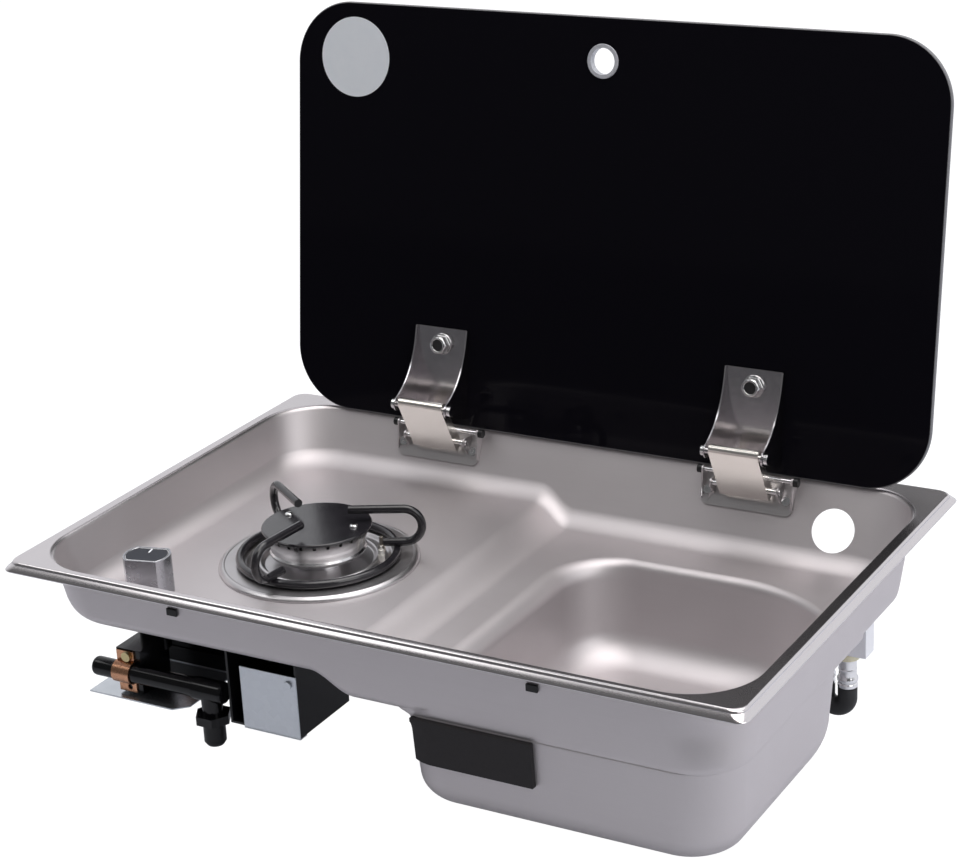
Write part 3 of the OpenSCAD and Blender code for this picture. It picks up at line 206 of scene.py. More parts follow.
class Finish(Nodes):
    """One material: a Principled shader whose fixed values are set on its sockets."""

    def __init__(self, name, colour, rough, metal=0.0, **fixed):
        self.material = bpy.data.materials.new(name)
        self.material.use_nodes = True
        super().__init__(self.material.node_tree)
        surface = self.node("ShaderNodeBsdfPrincipled", {})
        self.node("ShaderNodeOutputMaterial", {}, surface)
        self.shader = surface.socket.node
        self.set("Base Color", (*colour, 1.0))
        self.set("Roughness", rough)
        self.set("Metallic", metal)
        for key, value in fixed.items():
            self.set(key.replace("_", " "), value)
        self.material.diffuse_color = (*colour, 1.0)

    def set(self, socket, value):
        """Puts a number, colour or flow on one of the shader's sockets."""
        self.feed(self.shader.inputs[socket], value)

    def spot(self, stretch=(1, 1, 1), turn=(0, 0, 0)):
        """The surface point, stretched or turned for a pattern."""
        return self.node("ShaderNodeMapping", {"vector_type": "POINT"}, self.at(), None, turn, stretch)

    def noise(self, scale, detail=3.0, rough=0.55, stretch=(1, 1, 1), turn=(0, 0, 0)):
        """Cloudy noise, with the given number of blotches per metre."""
        return self.node("ShaderNodeTexNoise", {}, self.spot(stretch, turn), None, scale, detail, rough)

    def pits(self, scale, out="Distance"):
        """Scattered points: the distance to the nearest, or its random colour."""
        return self.node("ShaderNodeTexVoronoi", {"feature": "F1"}, self.spot(), None, scale, out=out)

    def relief(self, height, strength, deep):
        """Bumps the surface by a height flow; deep is in metres."""
        self.set("Normal", self.node("ShaderNodeBump", {}, strength, deep, None, height))


def clouded(name, colour, rough, metal=0.0, size=40.0, drift=0.12, rough_drift=0.08, grain=900.0,
            bump=0.08, **fixed):
    """A plain finish made real: slow colour drift, patchy gloss and a fine skin."""
    f = Finish(name, colour, rough, metal, **fixed)
    slow = f.noise(size, 4.0)
    low = tuple(c * (1 - drift) for c in colour)
    high = tuple(min(1.0, c * (1 + drift)) for c in colour)
    f.set("Base Color", f.mix(slow, low, high))
    f.set("Roughness", f.noise(size * 3, 5.0) * (2 * rough_drift) + (rough - rough_drift))
    f.relief(f.noise(grain, 2.0), bump, 0.0002)
    return f


def pressed_steel():
    """Satin stainless sheet: faint rolling lines along X, slow cloudiness from pressing and
    hairline scratches. The rim's flat is smoother than the walls, and its lip is polished, with a lighter tone
    there that is painted sheen."""
    f = Finish("pressed_steel", (0.60, 0.575, 0.59), 0.27, 1.0)
    x, y, z = f.parts()
    side, front = (RIM_W / 2 - LIP_IN) * MM, (RIM_D / 2 - LIP_IN) * MM
    lip = (x.size() - side).most(y - front).most(-front - y).above(0.0, 0.0008)
    flat = z.above((RIM_TOP - FLAT_IN) * MM, 0.0012)
    rolled = f.noise(900.0, 3.0, 0.6, stretch=(0.02, 1, 1))
    cloud = f.noise(7.0, 3.0)
    scratch = f.noise(260.0, 2.0, 0.5, stretch=(0.02, 1, 1), turn=(0, 0, 0.5)).above(0.72, 0.02)
    # The lip's lift in tone is painted sheen; its polish is the lower roughness below.
    tone = cloud * 0.6 + rolled * 0.2 + lip * 0.35 + 0.05
    f.set("Base Color", f.mix(tone, (0.54, 0.505, 0.515), (0.70, 0.67, 0.68)))
    satin = cloud * 0.06 + rolled * 0.05 + scratch * 0.03 + 0.47
    flat_gloss = satin - flat * (satin - 0.215 - cloud * 0.08)
    f.set("Roughness", flat_gloss - lip * (flat_gloss - 0.15 - cloud * 0.05))
    f.relief(rolled * 0.4 + scratch * 0.15, 0.035, 0.0001)
    return f


def polished_steel():
    """Bright turned steel with a trace of fine marks."""
    f = Finish("polished_steel", (0.78, 0.775, 0.78), 0.12, 1.0)
    marks = f.noise(1600.0, 3.0)
    f.set("Roughness", f.noise(60.0, 4.0) * 0.1 + marks * 0.05 + 0.06)
    f.relief(marks, 0.06, 0.0001)
    return f


def hinge_steel():
    """Stamped steel sheet, satin, with a faint warm cast and drawn lines. Its near-white base colour is steel in
    part and painted highlight in part, the lit counterpart of the darker bracket copy.
    """
    f = Finish("hinge_steel", (0.79, 0.765, 0.735), 0.24, 1.0)
    drawn = f.noise(1400.0, 2.0, 0.5, stretch=(1, 0.05, 0.05))
    # Near-white base colour: the steel's own tone in part, painted highlight in part.
    f.set("Base Color", f.mix(f.noise(50.0, 3.0), (0.87, 0.835, 0.785), (0.95, 0.915, 0.86)))
    f.set("Roughness", drawn * 0.12 + 0.17)
    f.relief(drawn, 0.07, 0.0001)
    return f


def enamel():
    """Black glass enamel over cast metal: a glossy skin with slight orange peel and rare pits."""
    f = Finish("black_enamel", (0.016, 0.015, 0.018), 0.30, 0.0, Coat_Weight=0.25, Coat_Roughness=0.12)
    peel = f.noise(420.0, 3.0)
    speck = 1.0 - f.pits(700.0).above(0.10, 0.04)
    f.set("Base Color", f.mix(speck * 0.35, (0.014, 0.013, 0.016), (0.16, 0.155, 0.16)))
    f.set("Roughness", f.noise(80.0, 4.0) * 0.14 + 0.15)
    f.relief(peel - speck * 0.2, 0.16, 0.0004)
    return f


def galvanised():
    """Zinc sheet with faint spangle."""
    f = Finish("galvanised", (0.50, 0.52, 0.56), 0.38, 0.85)
    plain = f.node("ShaderNodeRGBToBW", {}, f.pits(160.0, "Color"))
    f.set("Base Color", f.mix(plain, (0.62, 0.65, 0.69), (0.72, 0.75, 0.79)))
    f.set("Roughness", plain * 0.14 + 0.30)
    f.relief(f.noise(1200.0, 3.0), 0.08, 0.0001)
    return f


def shelf_sheet():
    """Zinc sheet, plain on the flat shelf; its upturn is coloured black as painted shade."""
    f = Finish("shelf_sheet", (0.60, 0.63, 0.67), 0.28, 0.85)
    shelf_low = float(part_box("rail_shelf")[0][2])
    upturn_painted_shade = f.parts()[2].above(shelf_low + SHELF_T * MM, 0.0003)
    zinc = f.mix(f.noise(70.0, 4.0), (0.56, 0.59, 0.63), (0.68, 0.71, 0.75))
    # Black on the upturn, with its metal taken away: painted shade.
    f.set("Base Color", f.mix(upturn_painted_shade, zinc, (0.006, 0.006, 0.007)))
    f.set("Metallic", 0.85 - upturn_painted_shade * 0.85)
    f.set("Roughness", f.noise(120.0, 4.0) * 0.10 + 0.20)
    f.relief(f.noise(1200.0, 3.0), 0.06, 0.0001)
    return f


def cast_alloy():
    """Polished die-cast aluminium: bright, with streaky hand-polished waves."""
    f = Finish("cast_alloy", (0.72, 0.71, 0.72), 0.22, 1.0)
    skin = f.noise(1500.0, 4.0)
    f.set("Base Color", f.mix(f.noise(70.0, 4.0), (0.60, 0.59, 0.60), (0.86, 0.85, 0.86)))
    f.set("Roughness", skin * 0.12 + 0.13)
    f.relief(f.noise(70.0, 2.0, 0.5, stretch=(1, 1, 0.25)) + skin * 0.1, 0.08, 0.0008)
    return f


def tinted_glass():
    """Near-black safety glass: a deep glossy sheet with the faintest waviness and a grey ground
    edge. The edge is where the distance from the sheet's rounded outline is under GROUND."""
    f = Finish("tinted_glass", (0.0045, 0.0041, 0.0064), 0.05, 0.0, IOR=1.5, Specular_IOR_Level=0.07)
    wipe = f.noise(14.0, 4.0, 0.6, stretch=(1, 0.4, 0.4))
    dust = f.noise(2600.0, 2.0).above(0.74, 0.02)
    x, y, z = f.parts()
    up = (y - PIN_Y * MM) * math.sin(LID_LEAN) + (z - (PIN_Z + RIM_TOP) * MM) * math.cos(LID_LEAN)
    past_x = (x.size() - (LID_W / 2 - LID_CORNER) * MM).most(0.0)
    past_z = ((up - (LID_RISE + LID_H / 2) * MM).size() - (LID_H / 2 - LID_CORNER) * MM).most(0.0)
    edge = ((past_x ** 2 + past_z ** 2) ** 0.5).above((LID_CORNER - GROUND) * MM, 0.0003)
    f.set("Roughness", wipe * 0.05 + dust * 0.2 + edge * 0.4 + 0.03)
    sheet = f.mix(dust * 0.3, (0.0045, 0.0041, 0.0064), (0.02, 0.02, 0.023))
    f.set("Base Color", f.mix(edge, sheet, (0.22, 0.22, 0.23)))
    f.relief(f.noise(5.0, 1.0), 0.015, 0.0005)
    return f


def sticker_paper():
    """Blank printed foil: pale blue white, no lettering."""
    f = Finish("sticker_white", (0.89, 0.93, 0.97), 0.35, 0.0, Coat_Weight=0.3, Coat_Roughness=0.15)
    f.set("Base Color", f.mix(f.noise(90.0, 3.0), (0.86, 0.90, 0.95), (0.92, 0.95, 0.99)))
    f.relief(f.noise(800.0, 2.0), 0.04, 0.0001)
    return f


FINISHES = {
    "pressed_steel": pressed_steel(),
    "polished_steel": polished_steel(),
    "hinge_steel": hinge_steel(),
    "black_enamel": enamel(),
    "galvanised": galvanised(),
    "cast_alloy": cast_alloy(),
    "tinted_glass": tinted_glass(),
    "sticker_white": sticker_paper(),
    "foam": clouded("foam", (0.030, 0.027, 0.029), 0.85, size=120, grain=2200, bump=0.5),
    "black_rubber": clouded("black_rubber", (0.014, 0.014, 0.015), 0.55, size=60, grain=1500, bump=0.2),
    # The brackets' darker copy of hinge steel: painted shade.
    "shaded_bracket_steel": clouded("shaded_bracket_steel", (0.60, 0.58, 0.60), 0.18, 1.0, size=60, rough_drift=0.04, grain=1400,
                             bump=0.02),
    "shelf_sheet": shelf_sheet(),
    "ring_steel": clouded("ring_steel", (0.54, 0.525, 0.535), 0.34, 1.0, size=50, drift=0.06, rough_drift=0.06,
                          grain=1500, bump=0.04),
    "base_steel": clouded("base_steel", (0.60, 0.575, 0.58), 0.34, 1.0, size=50, drift=0.06, rough_drift=0.04,
                          grain=1500, bump=0.03),
    "ceramic_white": clouded("ceramic_white", (0.72, 0.70, 0.66), 0.25, size=200, Coat_Weight=0.4),
    "sensor_metal": clouded("sensor_metal", (0.50, 0.46, 0.41), 0.35, 1.0, size=200),
    "brass": clouded("brass", (0.60, 0.50, 0.27), 0.30, 1.0, size=90, grain=1400),
    "copper": clouded("copper", (0.62, 0.33, 0.20), 0.27, 1.0, size=80, drift=0.16, grain=1400),
    "knob_metal": clouded("knob_metal", (0.36, 0.365, 0.39), 0.27, 0.9, size=60, drift=0.02,
                          rough_drift=0.02, grain=1800, bump=0.01),
    "knob_dark": clouded("knob_dark", (0.030, 0.032, 0.042), 0.55, 0.0, size=150, grain=1800, bump=0.03,
                         Specular_IOR_Level=0.2),
    "black_gloss": clouded("black_gloss", (0.004, 0.004, 0.005), 0.16, size=70, grain=600, bump=0.05,
                           Specular_IOR_Level=0.3, Coat_Weight=0.12, Coat_Roughness=0.06),
    "black_plastic": clouded("black_plastic", (0.006, 0.006, 0.007), 0.40, size=60, grain=1600, bump=0.15),
    "grommet_grey": clouded("grommet_grey", (0.52, 0.53, 0.57), 0.28, size=150, grain=1500),
    "white_plastic": clouded("white_plastic", (0.92, 0.92, 0.96), 0.34, size=70, drift=0.04, grain=1200),
    "yellowed_plastic": clouded("yellowed_plastic", (0.74, 0.69, 0.50), 0.36, size=90, grain=1200),
}


# ---------------------------------------------------------------- surfaces

def to_frame(points):
    """Millimetres from the rim's top to metres in the part's frame."""
    return (np.asarray(points, float).reshape(-1, 3) + (0, 0, RIM_TOP)) * MM


def lid_points(points):
    """Lid coordinates (across, through, up from the hinge pin) to millimetres from the rim's top:
    the glass leans back, so y' = y cos + z sin and z' = z cos - y sin."""
    p = np.asarray(points, float).reshape(-1, 3)
    c, s = math.cos(LID_LEAN), math.sin(LID_LEAN)
    return np.stack([p[:, 0], PIN_Y + p[:, 1] * c + p[:, 2] * s, PIN_Z - p[:, 1] * s + p[:, 2] * c], 1)


def solid_from(name, points, faces, finish, body=None, slot=None):
    """A mesh object from points in millimetres. Its place is in its mesh."""
    mesh = bpy.data.meshes.new(name)
    mesh.from_pydata(to_frame(points).tolist(), [], [list(map(int, f)) for f in faces])
    mesh.update()
    piece = bpy.data.objects.new(name, mesh)
    bpy.context.scene.collection.objects.link(piece)
    mesh.materials.append(FINISHES[finish].material)
    mesh.polygons.foreach_set("use_smooth", np.full(len(mesh.polygons), True))
    if body:
        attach(piece, body)
    return piece


def grid_faces(rows, columns, closed):
    """Quads between neighbouring rows of a grid; closed joins its last column to the first."""
    r, c = np.meshgrid(np.arange(rows - 1), np.arange(columns if closed else columns - 1), indexing="ij")
    a, b = r * columns + c, r * columns + (c + 1) % columns
    return np.stack([a, b, b + columns, a + columns], -1).reshape(-1, 4)


def turned(profile, sides=96):
    """A profile of (radius, height) points turned round the vertical axis:
    x = r cos t, y = r sin t. Closed profiles give rings, ends on the axis give discs."""
    p = np.asarray(profile, float)
    t = np.linspace(0, 2 * math.pi, sides, endpoint=False)
    grid = np.stack([p[:, :1] * np.cos(t), p[:, :1] * np.sin(t), np.repeat(p[:, 1:], sides, 1)], -1)
    return grid.reshape(-1, 3), grid_faces(len(p), sides, True)


def rounded_profile(corners, steps=6):
    """Replaces each corner (r, z, radius) of a profile by a quadratic blend that starts and
    ends the given distance from it."""
    pts = [np.array(c[:2], float) for c in corners]
    made = []
    for k, c in enumerate(corners):
        bend = c[2] if len(c) > 2 else 0
        if bend == 0 or k in (0, len(corners) - 1):
            made.append(pts[k])
            continue
        before, after = pts[k - 1] - pts[k], pts[k + 1] - pts[k]
        a = pts[k] + before / np.linalg.norm(before) * min(bend, np.linalg.norm(before) * 0.49)
        b = pts[k] + after / np.linalg.norm(after) * min(bend, np.linalg.norm(after) * 0.49)
        for t in np.linspace(0, 1, steps):
            made.append(a * (1 - t) ** 2 + 2 * pts[k] * t * (1 - t) + b * t ** 2)
    return np.array(made)


def foot_in(h, r):
    """How far a wall comes in at height h over its floor: r - sqrt(r^2 - (r - h)^2)."""
    return np.where(h < r, r - np.sqrt(np.maximum(0, r * r - (r - np.maximum(h, 0)) ** 2)), 0.0)


def edge_out(z, r):
    """How far a wall goes out at height z under its edge's round: r - sqrt(r^2 - (z + r)^2)."""
    return np.where(z > -r, r - np.sqrt(np.maximum(0, r * r - (z + r) ** 2)), 0.0)


def wall_in(z, depth, lean, foot, edge, grow=0.0):
    """A wall's inward run at height z: its lean, plus its foot's fillet, less its edge's round."""
    return lean * np.maximum(0, -z) + foot_in(z + depth, foot) - edge_out(np.minimum(z + grow, 0), edge)


def level_list(start, stop, count):
    """Heights that crowd together towards the stop as the angle of a quarter circle does."""
    return start + (stop - start) * np.sin(np.linspace(0, math.pi / 2, count))


def recess_ring(up, on_floor, grow, n=26, steps=44):
    """One ring round the recess. Its points come in pairs, front and rear at the same x, so that
    the floor can be strips. At the ends the ring follows a quarter ellipse; between them the
    floor falls from the hob to the sink ledge as a half cosine."""
    def pair(x, z, depth, yf, yr):
        front = REC_Y0 - grow + wall_in(z, depth, LEAN_FRONT, FOOT_FRONT + grow, REC_EDGE - grow)
        rear = REC_Y1 + grow - wall_in(z, depth, LEAN_REAR, FOOT_REAR + grow, REC_EDGE - grow)
        return np.stack([x, front + yf, z], 1), np.stack([x, rear - yr, z], 1)

    fronts, rears = [], []
    turn = np.linspace(0, math.pi / 2, n)
    for side in (-1, 0, 1):
        if side == 0:
            s = np.linspace(0, 1, steps)
            x = STEP_X + STEP_W * (s - 0.5)
            depth = HOB_DEPTH + (LEDGE_DEPTH - HOB_DEPTH) * (1 - np.cos(math.pi * s)) / 2 + grow
            yf = yr = np.zeros(steps)
            z = up - on_floor * depth
        else:
            depth = np.full(n, (HOB_DEPTH if side < 0 else LEDGE_DEPTH) + grow)
            z = up - on_floor * depth
            lean, foot = (LEAN_LEFT, FOOT_LEFT) if side < 0 else (LEAN_RIGHT, FOOT_RIGHT)
            ix = wall_in(z, depth, lean, foot + grow, REC_EDGE - grow)
            iy = wall_in(z, depth, LEAN_FRONT, FOOT_FRONT + grow, REC_EDGE - grow)
            ir = wall_in(z, depth, LEAN_REAR, FOOT_REAR + grow, REC_EDGE - grow)
            a = turn if side < 0 else turn[::-1]
            edge = REC_X0 - grow + ix if side < 0 else REC_X1 + grow - ix
            x = edge - side * (REC_CORNER + grow - ix / 2) * (1 - np.cos(a))
            yf = (REC_CORNER + grow - iy / 2) * (1 - np.sin(a))
            yr = (REC_CORNER + grow - ir / 2) * (1 - np.sin(a))
        f, r = pair(x, z, depth, yf, yr)
        fronts.append(f)
        rears.append(r)
    return np.concatenate(fronts + [np.concatenate(rears)[::-1]])


def recess_solid(grow):
    """The solid of the recess grown by grow: rings from the rim down, with strips for the floor."""
    edge = REC_EDGE - grow
    tops = [1.0] if grow == 0 else []
    tops += list(-edge * (1 - np.cos(np.linspace(0, math.pi / 2, 9))) - (grow - 0.01 if grow else 0))
    feet = sorted(set(np.round(level_list(FOOT_REAR + grow, 0, 18), 4)) |
                  set(np.round(level_list(FOOT_FRONT + grow, 0, 12), 4)) |
                  set(np.round(level_list(FOOT_RIGHT + grow, 0, 9), 4)), reverse=True)
    feet = [h for k, h in enumerate(feet) if k == 0 or feet[k - 1] - h > 0.012 or h == 0]
    rings = [recess_ring(z, 0, grow) for z in tops] + [recess_ring(h, 1, grow) for h in feet]
    n, last = len(rings[0]), (len(rings) - 1) * len(rings[0])
    faces = grid_faces(len(rings), n, True).tolist()
    faces.append(list(range(n - 1, -1, -1)))
    faces += [[last + k, last + k + 1, last + n - 2 - k, last + n - 1 - k] for k in range(n // 2 - 1)]
    return np.concatenate(rings), faces


def rect_ring(box, radii, z, n):
    """A closed ring round a box with its own radius at each corner, front left first."""
    x0, x1, y0, y1 = box
    centres = ((x0, y0, 1, 1, 180), (x1, y0, -1, 1, 270), (x1, y1, -1, -1, 0), (x0, y1, 1, -1, 90))
    made = []
    for (x, y, sx, sy, start), r in zip(centres, radii):
        t = np.radians(start + np.linspace(0, 90, n))
        made.append(np.stack([x + sx * r + r * np.cos(t), y + sy * r + r * np.sin(t), np.full(n, z)], 1))
    return np.concatenate(made)


def stacked(rings):
    """A closed solid through level rings, listed from the top down."""
    n, last = len(rings[0]), (len(rings) - 1) * len(rings[0])
    faces = grid_faces(len(rings), n, True).tolist()
    faces += [list(range(n - 1, -1, -1)), list(range(last, last + n))]
    return np.concatenate(rings), faces


def rim_solid(grow):
    """The rim: its edge rounds over by a quarter circle, then leans out towards its foot. The outer
    face of the lip swells by LIP_SWELL sin(pi t) on the way down, as rolled sheet does, and over
    the last quarter of its height the foot tucks in by HEM u^2."""
    r, rings = RIM_EDGE - grow, []
    for a in np.linspace(math.pi / 2, 0, 9):
        shrink = RIM_LEAN + r * (1 - math.cos(a)) + grow
        rings.append((-grow - r * (1 - math.sin(a)), shrink))
    foot = -RIM_TOP - (1.0 if grow else 0.0)
    for t in np.linspace(0, 1, 21)[1:]:
        out = RIM_LEAN * (1 - t) + grow
        if not grow:
            tuck = max(0.0, (t - HEM_FROM) / (1 - HEM_FROM))
            swell = LIP_SWELL * math.sin(math.pi * t) * (1 - tuck)
            out = RIM_LEAN * max(0.0, 1 - t / LIP_WIDEST) - swell + HEM * tuck ** 2
        rings.append(((-grow - r) * (1 - t) + foot * t, max(out, 0.0)))
    return stacked([rect_ring((-RIM_W / 2 + s, RIM_W / 2 - s, -RIM_D / 2 + s, RIM_D / 2 - s),
                              [max(1.0, RIM_CORNER + (s - grow) / 2 - grow)] * 4, z, 16) for z, s in rings])


def bowl_ring(z, grow):
    """The bowl's outline at height z, grown by grow: edge rounds, leaning walls and foot fillet."""
    depth, h = BOWL_DEPTH - LEDGE_DEPTH + grow, z + LEDGE_DEPTH
    left, right, front, rear = BOWL_LEANS
    il = wall_in(h, depth, left, BOWL_FOOT + grow, BOWL_LEFT_EDGE - grow, grow)
    ir = wall_in(h, depth, right, BOWL_FOOT + grow, BOWL_RIGHT_EDGE)
    iy = wall_in(h, depth, front, BOWL_FOOT + grow, BOWL_FRONT_EDGE)
    ib = wall_in(h, depth, rear, BOWL_FOOT + grow, BOWL_EDGE - grow, grow)
    shrink = ((il + iy) / 4, (ir + iy) / 4, (ir + ib) / 3, (il + ib) / 4)
    box = (BOWL_X0 - grow + il, BOWL_X1 + grow - ir, BOWL_Y0 - grow + iy, BOWL_Y1 + grow - ib)
    return rect_ring(box, [c + grow - s for c, s in zip(BOWL_CORNERS, shrink)], z, 26)


def bowl_solid(grow):
    """The bowl grown by grow, from over its opening down to its floor."""
    head, floor = -LEDGE_DEPTH - grow, -BOWL_DEPTH - grow
    heights = [head + FOOT_REAR + 3]
    heights += list(head - (BOWL_LEFT_EDGE - grow) * (1 - np.cos(np.linspace(0, math.pi / 2, 14))))
    heights += list(floor + level_list(BOWL_FOOT + grow, 0, 18))
    return stacked([bowl_ring(z, grow) for z in heights])


def collar_solid():
    """The pressing's outside over the bowl: the recess's front and right walls run straight on
    down to the seam, and their corner tightens by COLLAR_TIGHTER t^2 (3 - 2 t). Its foot tucks
    under the seam, and its left and rear sides lie inside the bowl and the recess."""
    rings = []
    wide = REC_CORNER + SHEET + LEAN_RIGHT * COLLAR_TOP / 2 - 0.03
    for t in np.linspace(0, 1, 15):
        z = COLLAR_TOP + (COLLAR_FOOT - COLLAR_TOP) * t
        tuck = COLLAR_TUCK * max(0.0, (t - 0.95) / 0.05)
        right = REC_X1 + SHEET + 0.02 + LEAN_RIGHT * z - tuck
        front = REC_Y0 - SHEET - 0.02 - LEAN_FRONT * z + tuck
        corner = wide - COLLAR_TIGHTER * t * t * (3 - 2 * t)
        rings.append(rect_ring((35.0, right, front, 50.0), [26.0, corner, 2.0, 2.0], z, 20))
    return stacked(rings)


def drum(x, y, z, r, h, tilt=0.0, sides=96):
    """A plain cutting cylinder centred on a point, its axis tilted about X."""
    t = np.linspace(0, 2 * math.pi, sides, endpoint=False)
    ring = np.stack([r * np.cos(t), r * np.sin(t), np.zeros(sides)], 1)
    u, v, w = np.concatenate([ring + (0, 0, h / 2), ring - (0, 0, h / 2)]).T
    c, s = math.cos(tilt), math.sin(tilt)
    both = np.stack([u + x, v * c - w * s + y, v * s + w * c + z], 1)
    faces = grid_faces(2, sides, True)[:, ::-1].tolist()
    return both, faces + [list(range(sides)), list(range(2 * sides - 1, sides - 1, -1))]


def carve(piece, tools, how):
    """Joins, cuts or crops a piece with tools, one after another, and removes them."""
    for points, faces in tools:
        tool = outward(solid_from("tool", points, faces, "pressed_steel"))
        step = piece.modifiers.new("carve", "BOOLEAN")
        step.operation, step.solver, step.object = how, "EXACT", tool
        settle(piece)
        bpy.data.objects.remove(tool)


def settle(piece):
    """Applies a piece's modifiers to its mesh."""
    graph = bpy.context.evaluated_depsgraph_get()
    made = bpy.data.meshes.new_from_object(piece.evaluated_get(graph))
    piece.modifiers.clear()
    piece.data = made


def outward(piece):
    """Recalculates a closed mesh's normals so that they point out."""
    bm = bmesh.new()
    bm.from_mesh(piece.data)
    bmesh.ops.remove_doubles(bm, verts=bm.verts, dist=1e-7)
    bmesh.ops.recalc_face_normals(bm, faces=bm.faces)
    bm.to_mesh(piece.data)
    bm.free()
    return piece


def shade(piece, angle=32.0):
    """Smooth faces with sharp edges above an angle, weighted by face area."""
    piece.data.polygons.foreach_set("use_smooth", np.full(len(piece.data.polygons), True))
    piece.data.set_sharp_from_angle(angle=math.radians(angle))
    weight = piece.modifiers.new("area", "WEIGHTED_NORMAL")
    weight.keep_sharp, weight.mode, weight.weight = True, "FACE_AREA_WITH_ANGLE", 50


# ---------------------------------------------------------------- pieces

def tray_and_bowl():
    """The pressed tray and its bowl as one skin: outer forms joined, inner forms taken away."""
    skin = outward(solid_from("tray_and_bowl", *rim_solid(0.0), "pressed_steel"))
    carve(skin, [rim_solid(SHEET)], "DIFFERENCE")
    carve(skin, [recess_solid(SHEET), bowl_solid(SHEET), collar_solid()], "UNION")
    carve(skin, [recess_solid(0.0), bowl_solid(0.0)], "DIFFERENCE")
    tilt = math.atan(1 / LEAN_REAR)
    holes = [drum(*BURNER, -HOB_DEPTH, BURNER_HOLE_R, 10), drum(*KNOB, -HOB_DEPTH, SPINDLE_HOLE_R, 10),
             drum(WASTE_X, WASTE_Y, -BOWL_DEPTH, WASTE_R, 10),
             drum(TAP_X, REC_Y1 - LEAN_REAR * TAP_DEPTH, -TAP_DEPTH, TAP_R, 12, tilt)]
    carve(skin, holes, "DIFFERENCE")
    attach(skin, "chassis")
    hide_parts("tray", "sink_bowl")
    shade(skin)


def bowl_seam():
    """The welded seam round the bowl's outside: a low bead carried round the bowl's outline."""
    bead = ((0.6, 0.05), (0.3, 0.35), (-0.3, 0.5), (-0.9, 0.35), (-1.2, 0.05))
    made = [bowl_ring(SEAM_Z + up, SHEET + out) for up, out in bead]
    faces = grid_faces(len(made), len(made[0]), True)
    solid_from("bowl_seam", np.concatenate(made), faces, "pressed_steel", "chassis")


def pad():
    """The foam pad: a layer of the bowl's outside over its front wall, cut to its length and height."""
    low, top = SEAM_Z - PAD_H, SEAM_Z - 0.4
    foam = outward(solid_from("foam_pad", *bowl_solid(SHEET + PAD_T), "foam"))
    cut = (PAD_X0, PAD_X1, BOWL_Y0 - 20, BOWL_Y0 + 30)
    box = stacked([rect_ring(cut, [1.0] * 4, z, 4) for z in (top, low)])
    carve(foam, [box], "INTERSECT")
    carve(foam, [bowl_solid(SHEET)], "DIFFERENCE")
    edge = foam.modifiers.new("edge", "BEVEL")
    edge.width, edge.segments, edge.limit_method = PAD_EDGE * MM, 3, "ANGLE"
    edge.angle_limit = math.radians(40)
    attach(foam, "chassis")
    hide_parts("sound_pad")
    shade(foam)


def drip_ring():
    """The drip ring, turned from its section: a dish with a bead, a flat flange with a fine raised
    line, and an edge rolled down to the hob floor."""
    low, top, t = DISH_Z, -HOB_DEPTH + 3.8, 0.8
    section = rounded_profile([
        (NECK_R, low - t), (55.0, low - t, 0.6), (57.2, top - t, 0.8), (DRIP_R - 4, top - t, 0.8),
        (DRIP_R - 1, -44.95), (DRIP_R, -44.95, 0.2), (DRIP_R - 0.4, top - 1.7, 1.2), (DRIP_R - 3.0, top + 0.3, 1.3),
        (DRIP_R - 4.6, top + 0.3, 0.3), (DRIP_R - 5.2, top, 0.3), (57.0, top, 1.0), (54.3, low, 1.2),
        (BEAD_R + 3.2, low, 0.8), (BEAD_R + 1.2, low + 3.1, 1.2), (BEAD_R - 1.2, low + 3.1, 1.2),
        (BEAD_R - 3.2, low, 0.8), (NECK_R, low), (NECK_R, low - t)], 7)
    points, faces = turned(section, 160)
    points = points + (*BURNER, 0)
    ring = outward(solid_from("turned_drip_ring", points, faces, "ring_steel", slot="hinge_steel"))
    turns = [math.radians(a) for a in PROBE_TURNS]
    places = [(BURNER[0] + PROBE_RING * math.cos(a), BURNER[1] + PROBE_RING * math.sin(a)) for a in turns]
    carve(ring, [drum(x, y, -HOB_DEPTH, 3.0, 24, sides=40) for x, y in places], "DIFFERENCE")
    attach(ring, "chassis")
    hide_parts("drip_ring")
    shade(ring, 40.0)


def bolt_sockets():
    """The raised rim of each glass bolt's head, and a flat black disc in its middle that is painted shade for the
    head's recess, turned from their sections.
    """
    rim = [(4.9, -0.1), (4.9, 0.7, 0.3), (5.3, 1.1, 0.3), (6.7, 1.1, 0.6), (7.4, -0.1)]
    # A flat black disc: painted shade where the bolt head is recessed.
    hollow_shade_disc = [(0.0, 0.12), (5.0, 0.12)]
    for side, hand in ((-1, "left"), (1, "right")):
        for kind, section, finish in (("rim", rim, "polished_steel"), ("hollow_shade_disc", hollow_shade_disc, "black_rubber")):
            points, faces = turned(rounded_profile(section), 48)
            across, up, out = points.T
            place = lid_points(np.stack([across + side * HINGE_X, BOLT_FACE - out, up + BOLT_UP], 1))
            outward(solid_from("bolt_%s_%s" % (kind, hand), place, faces, finish, "lid"))


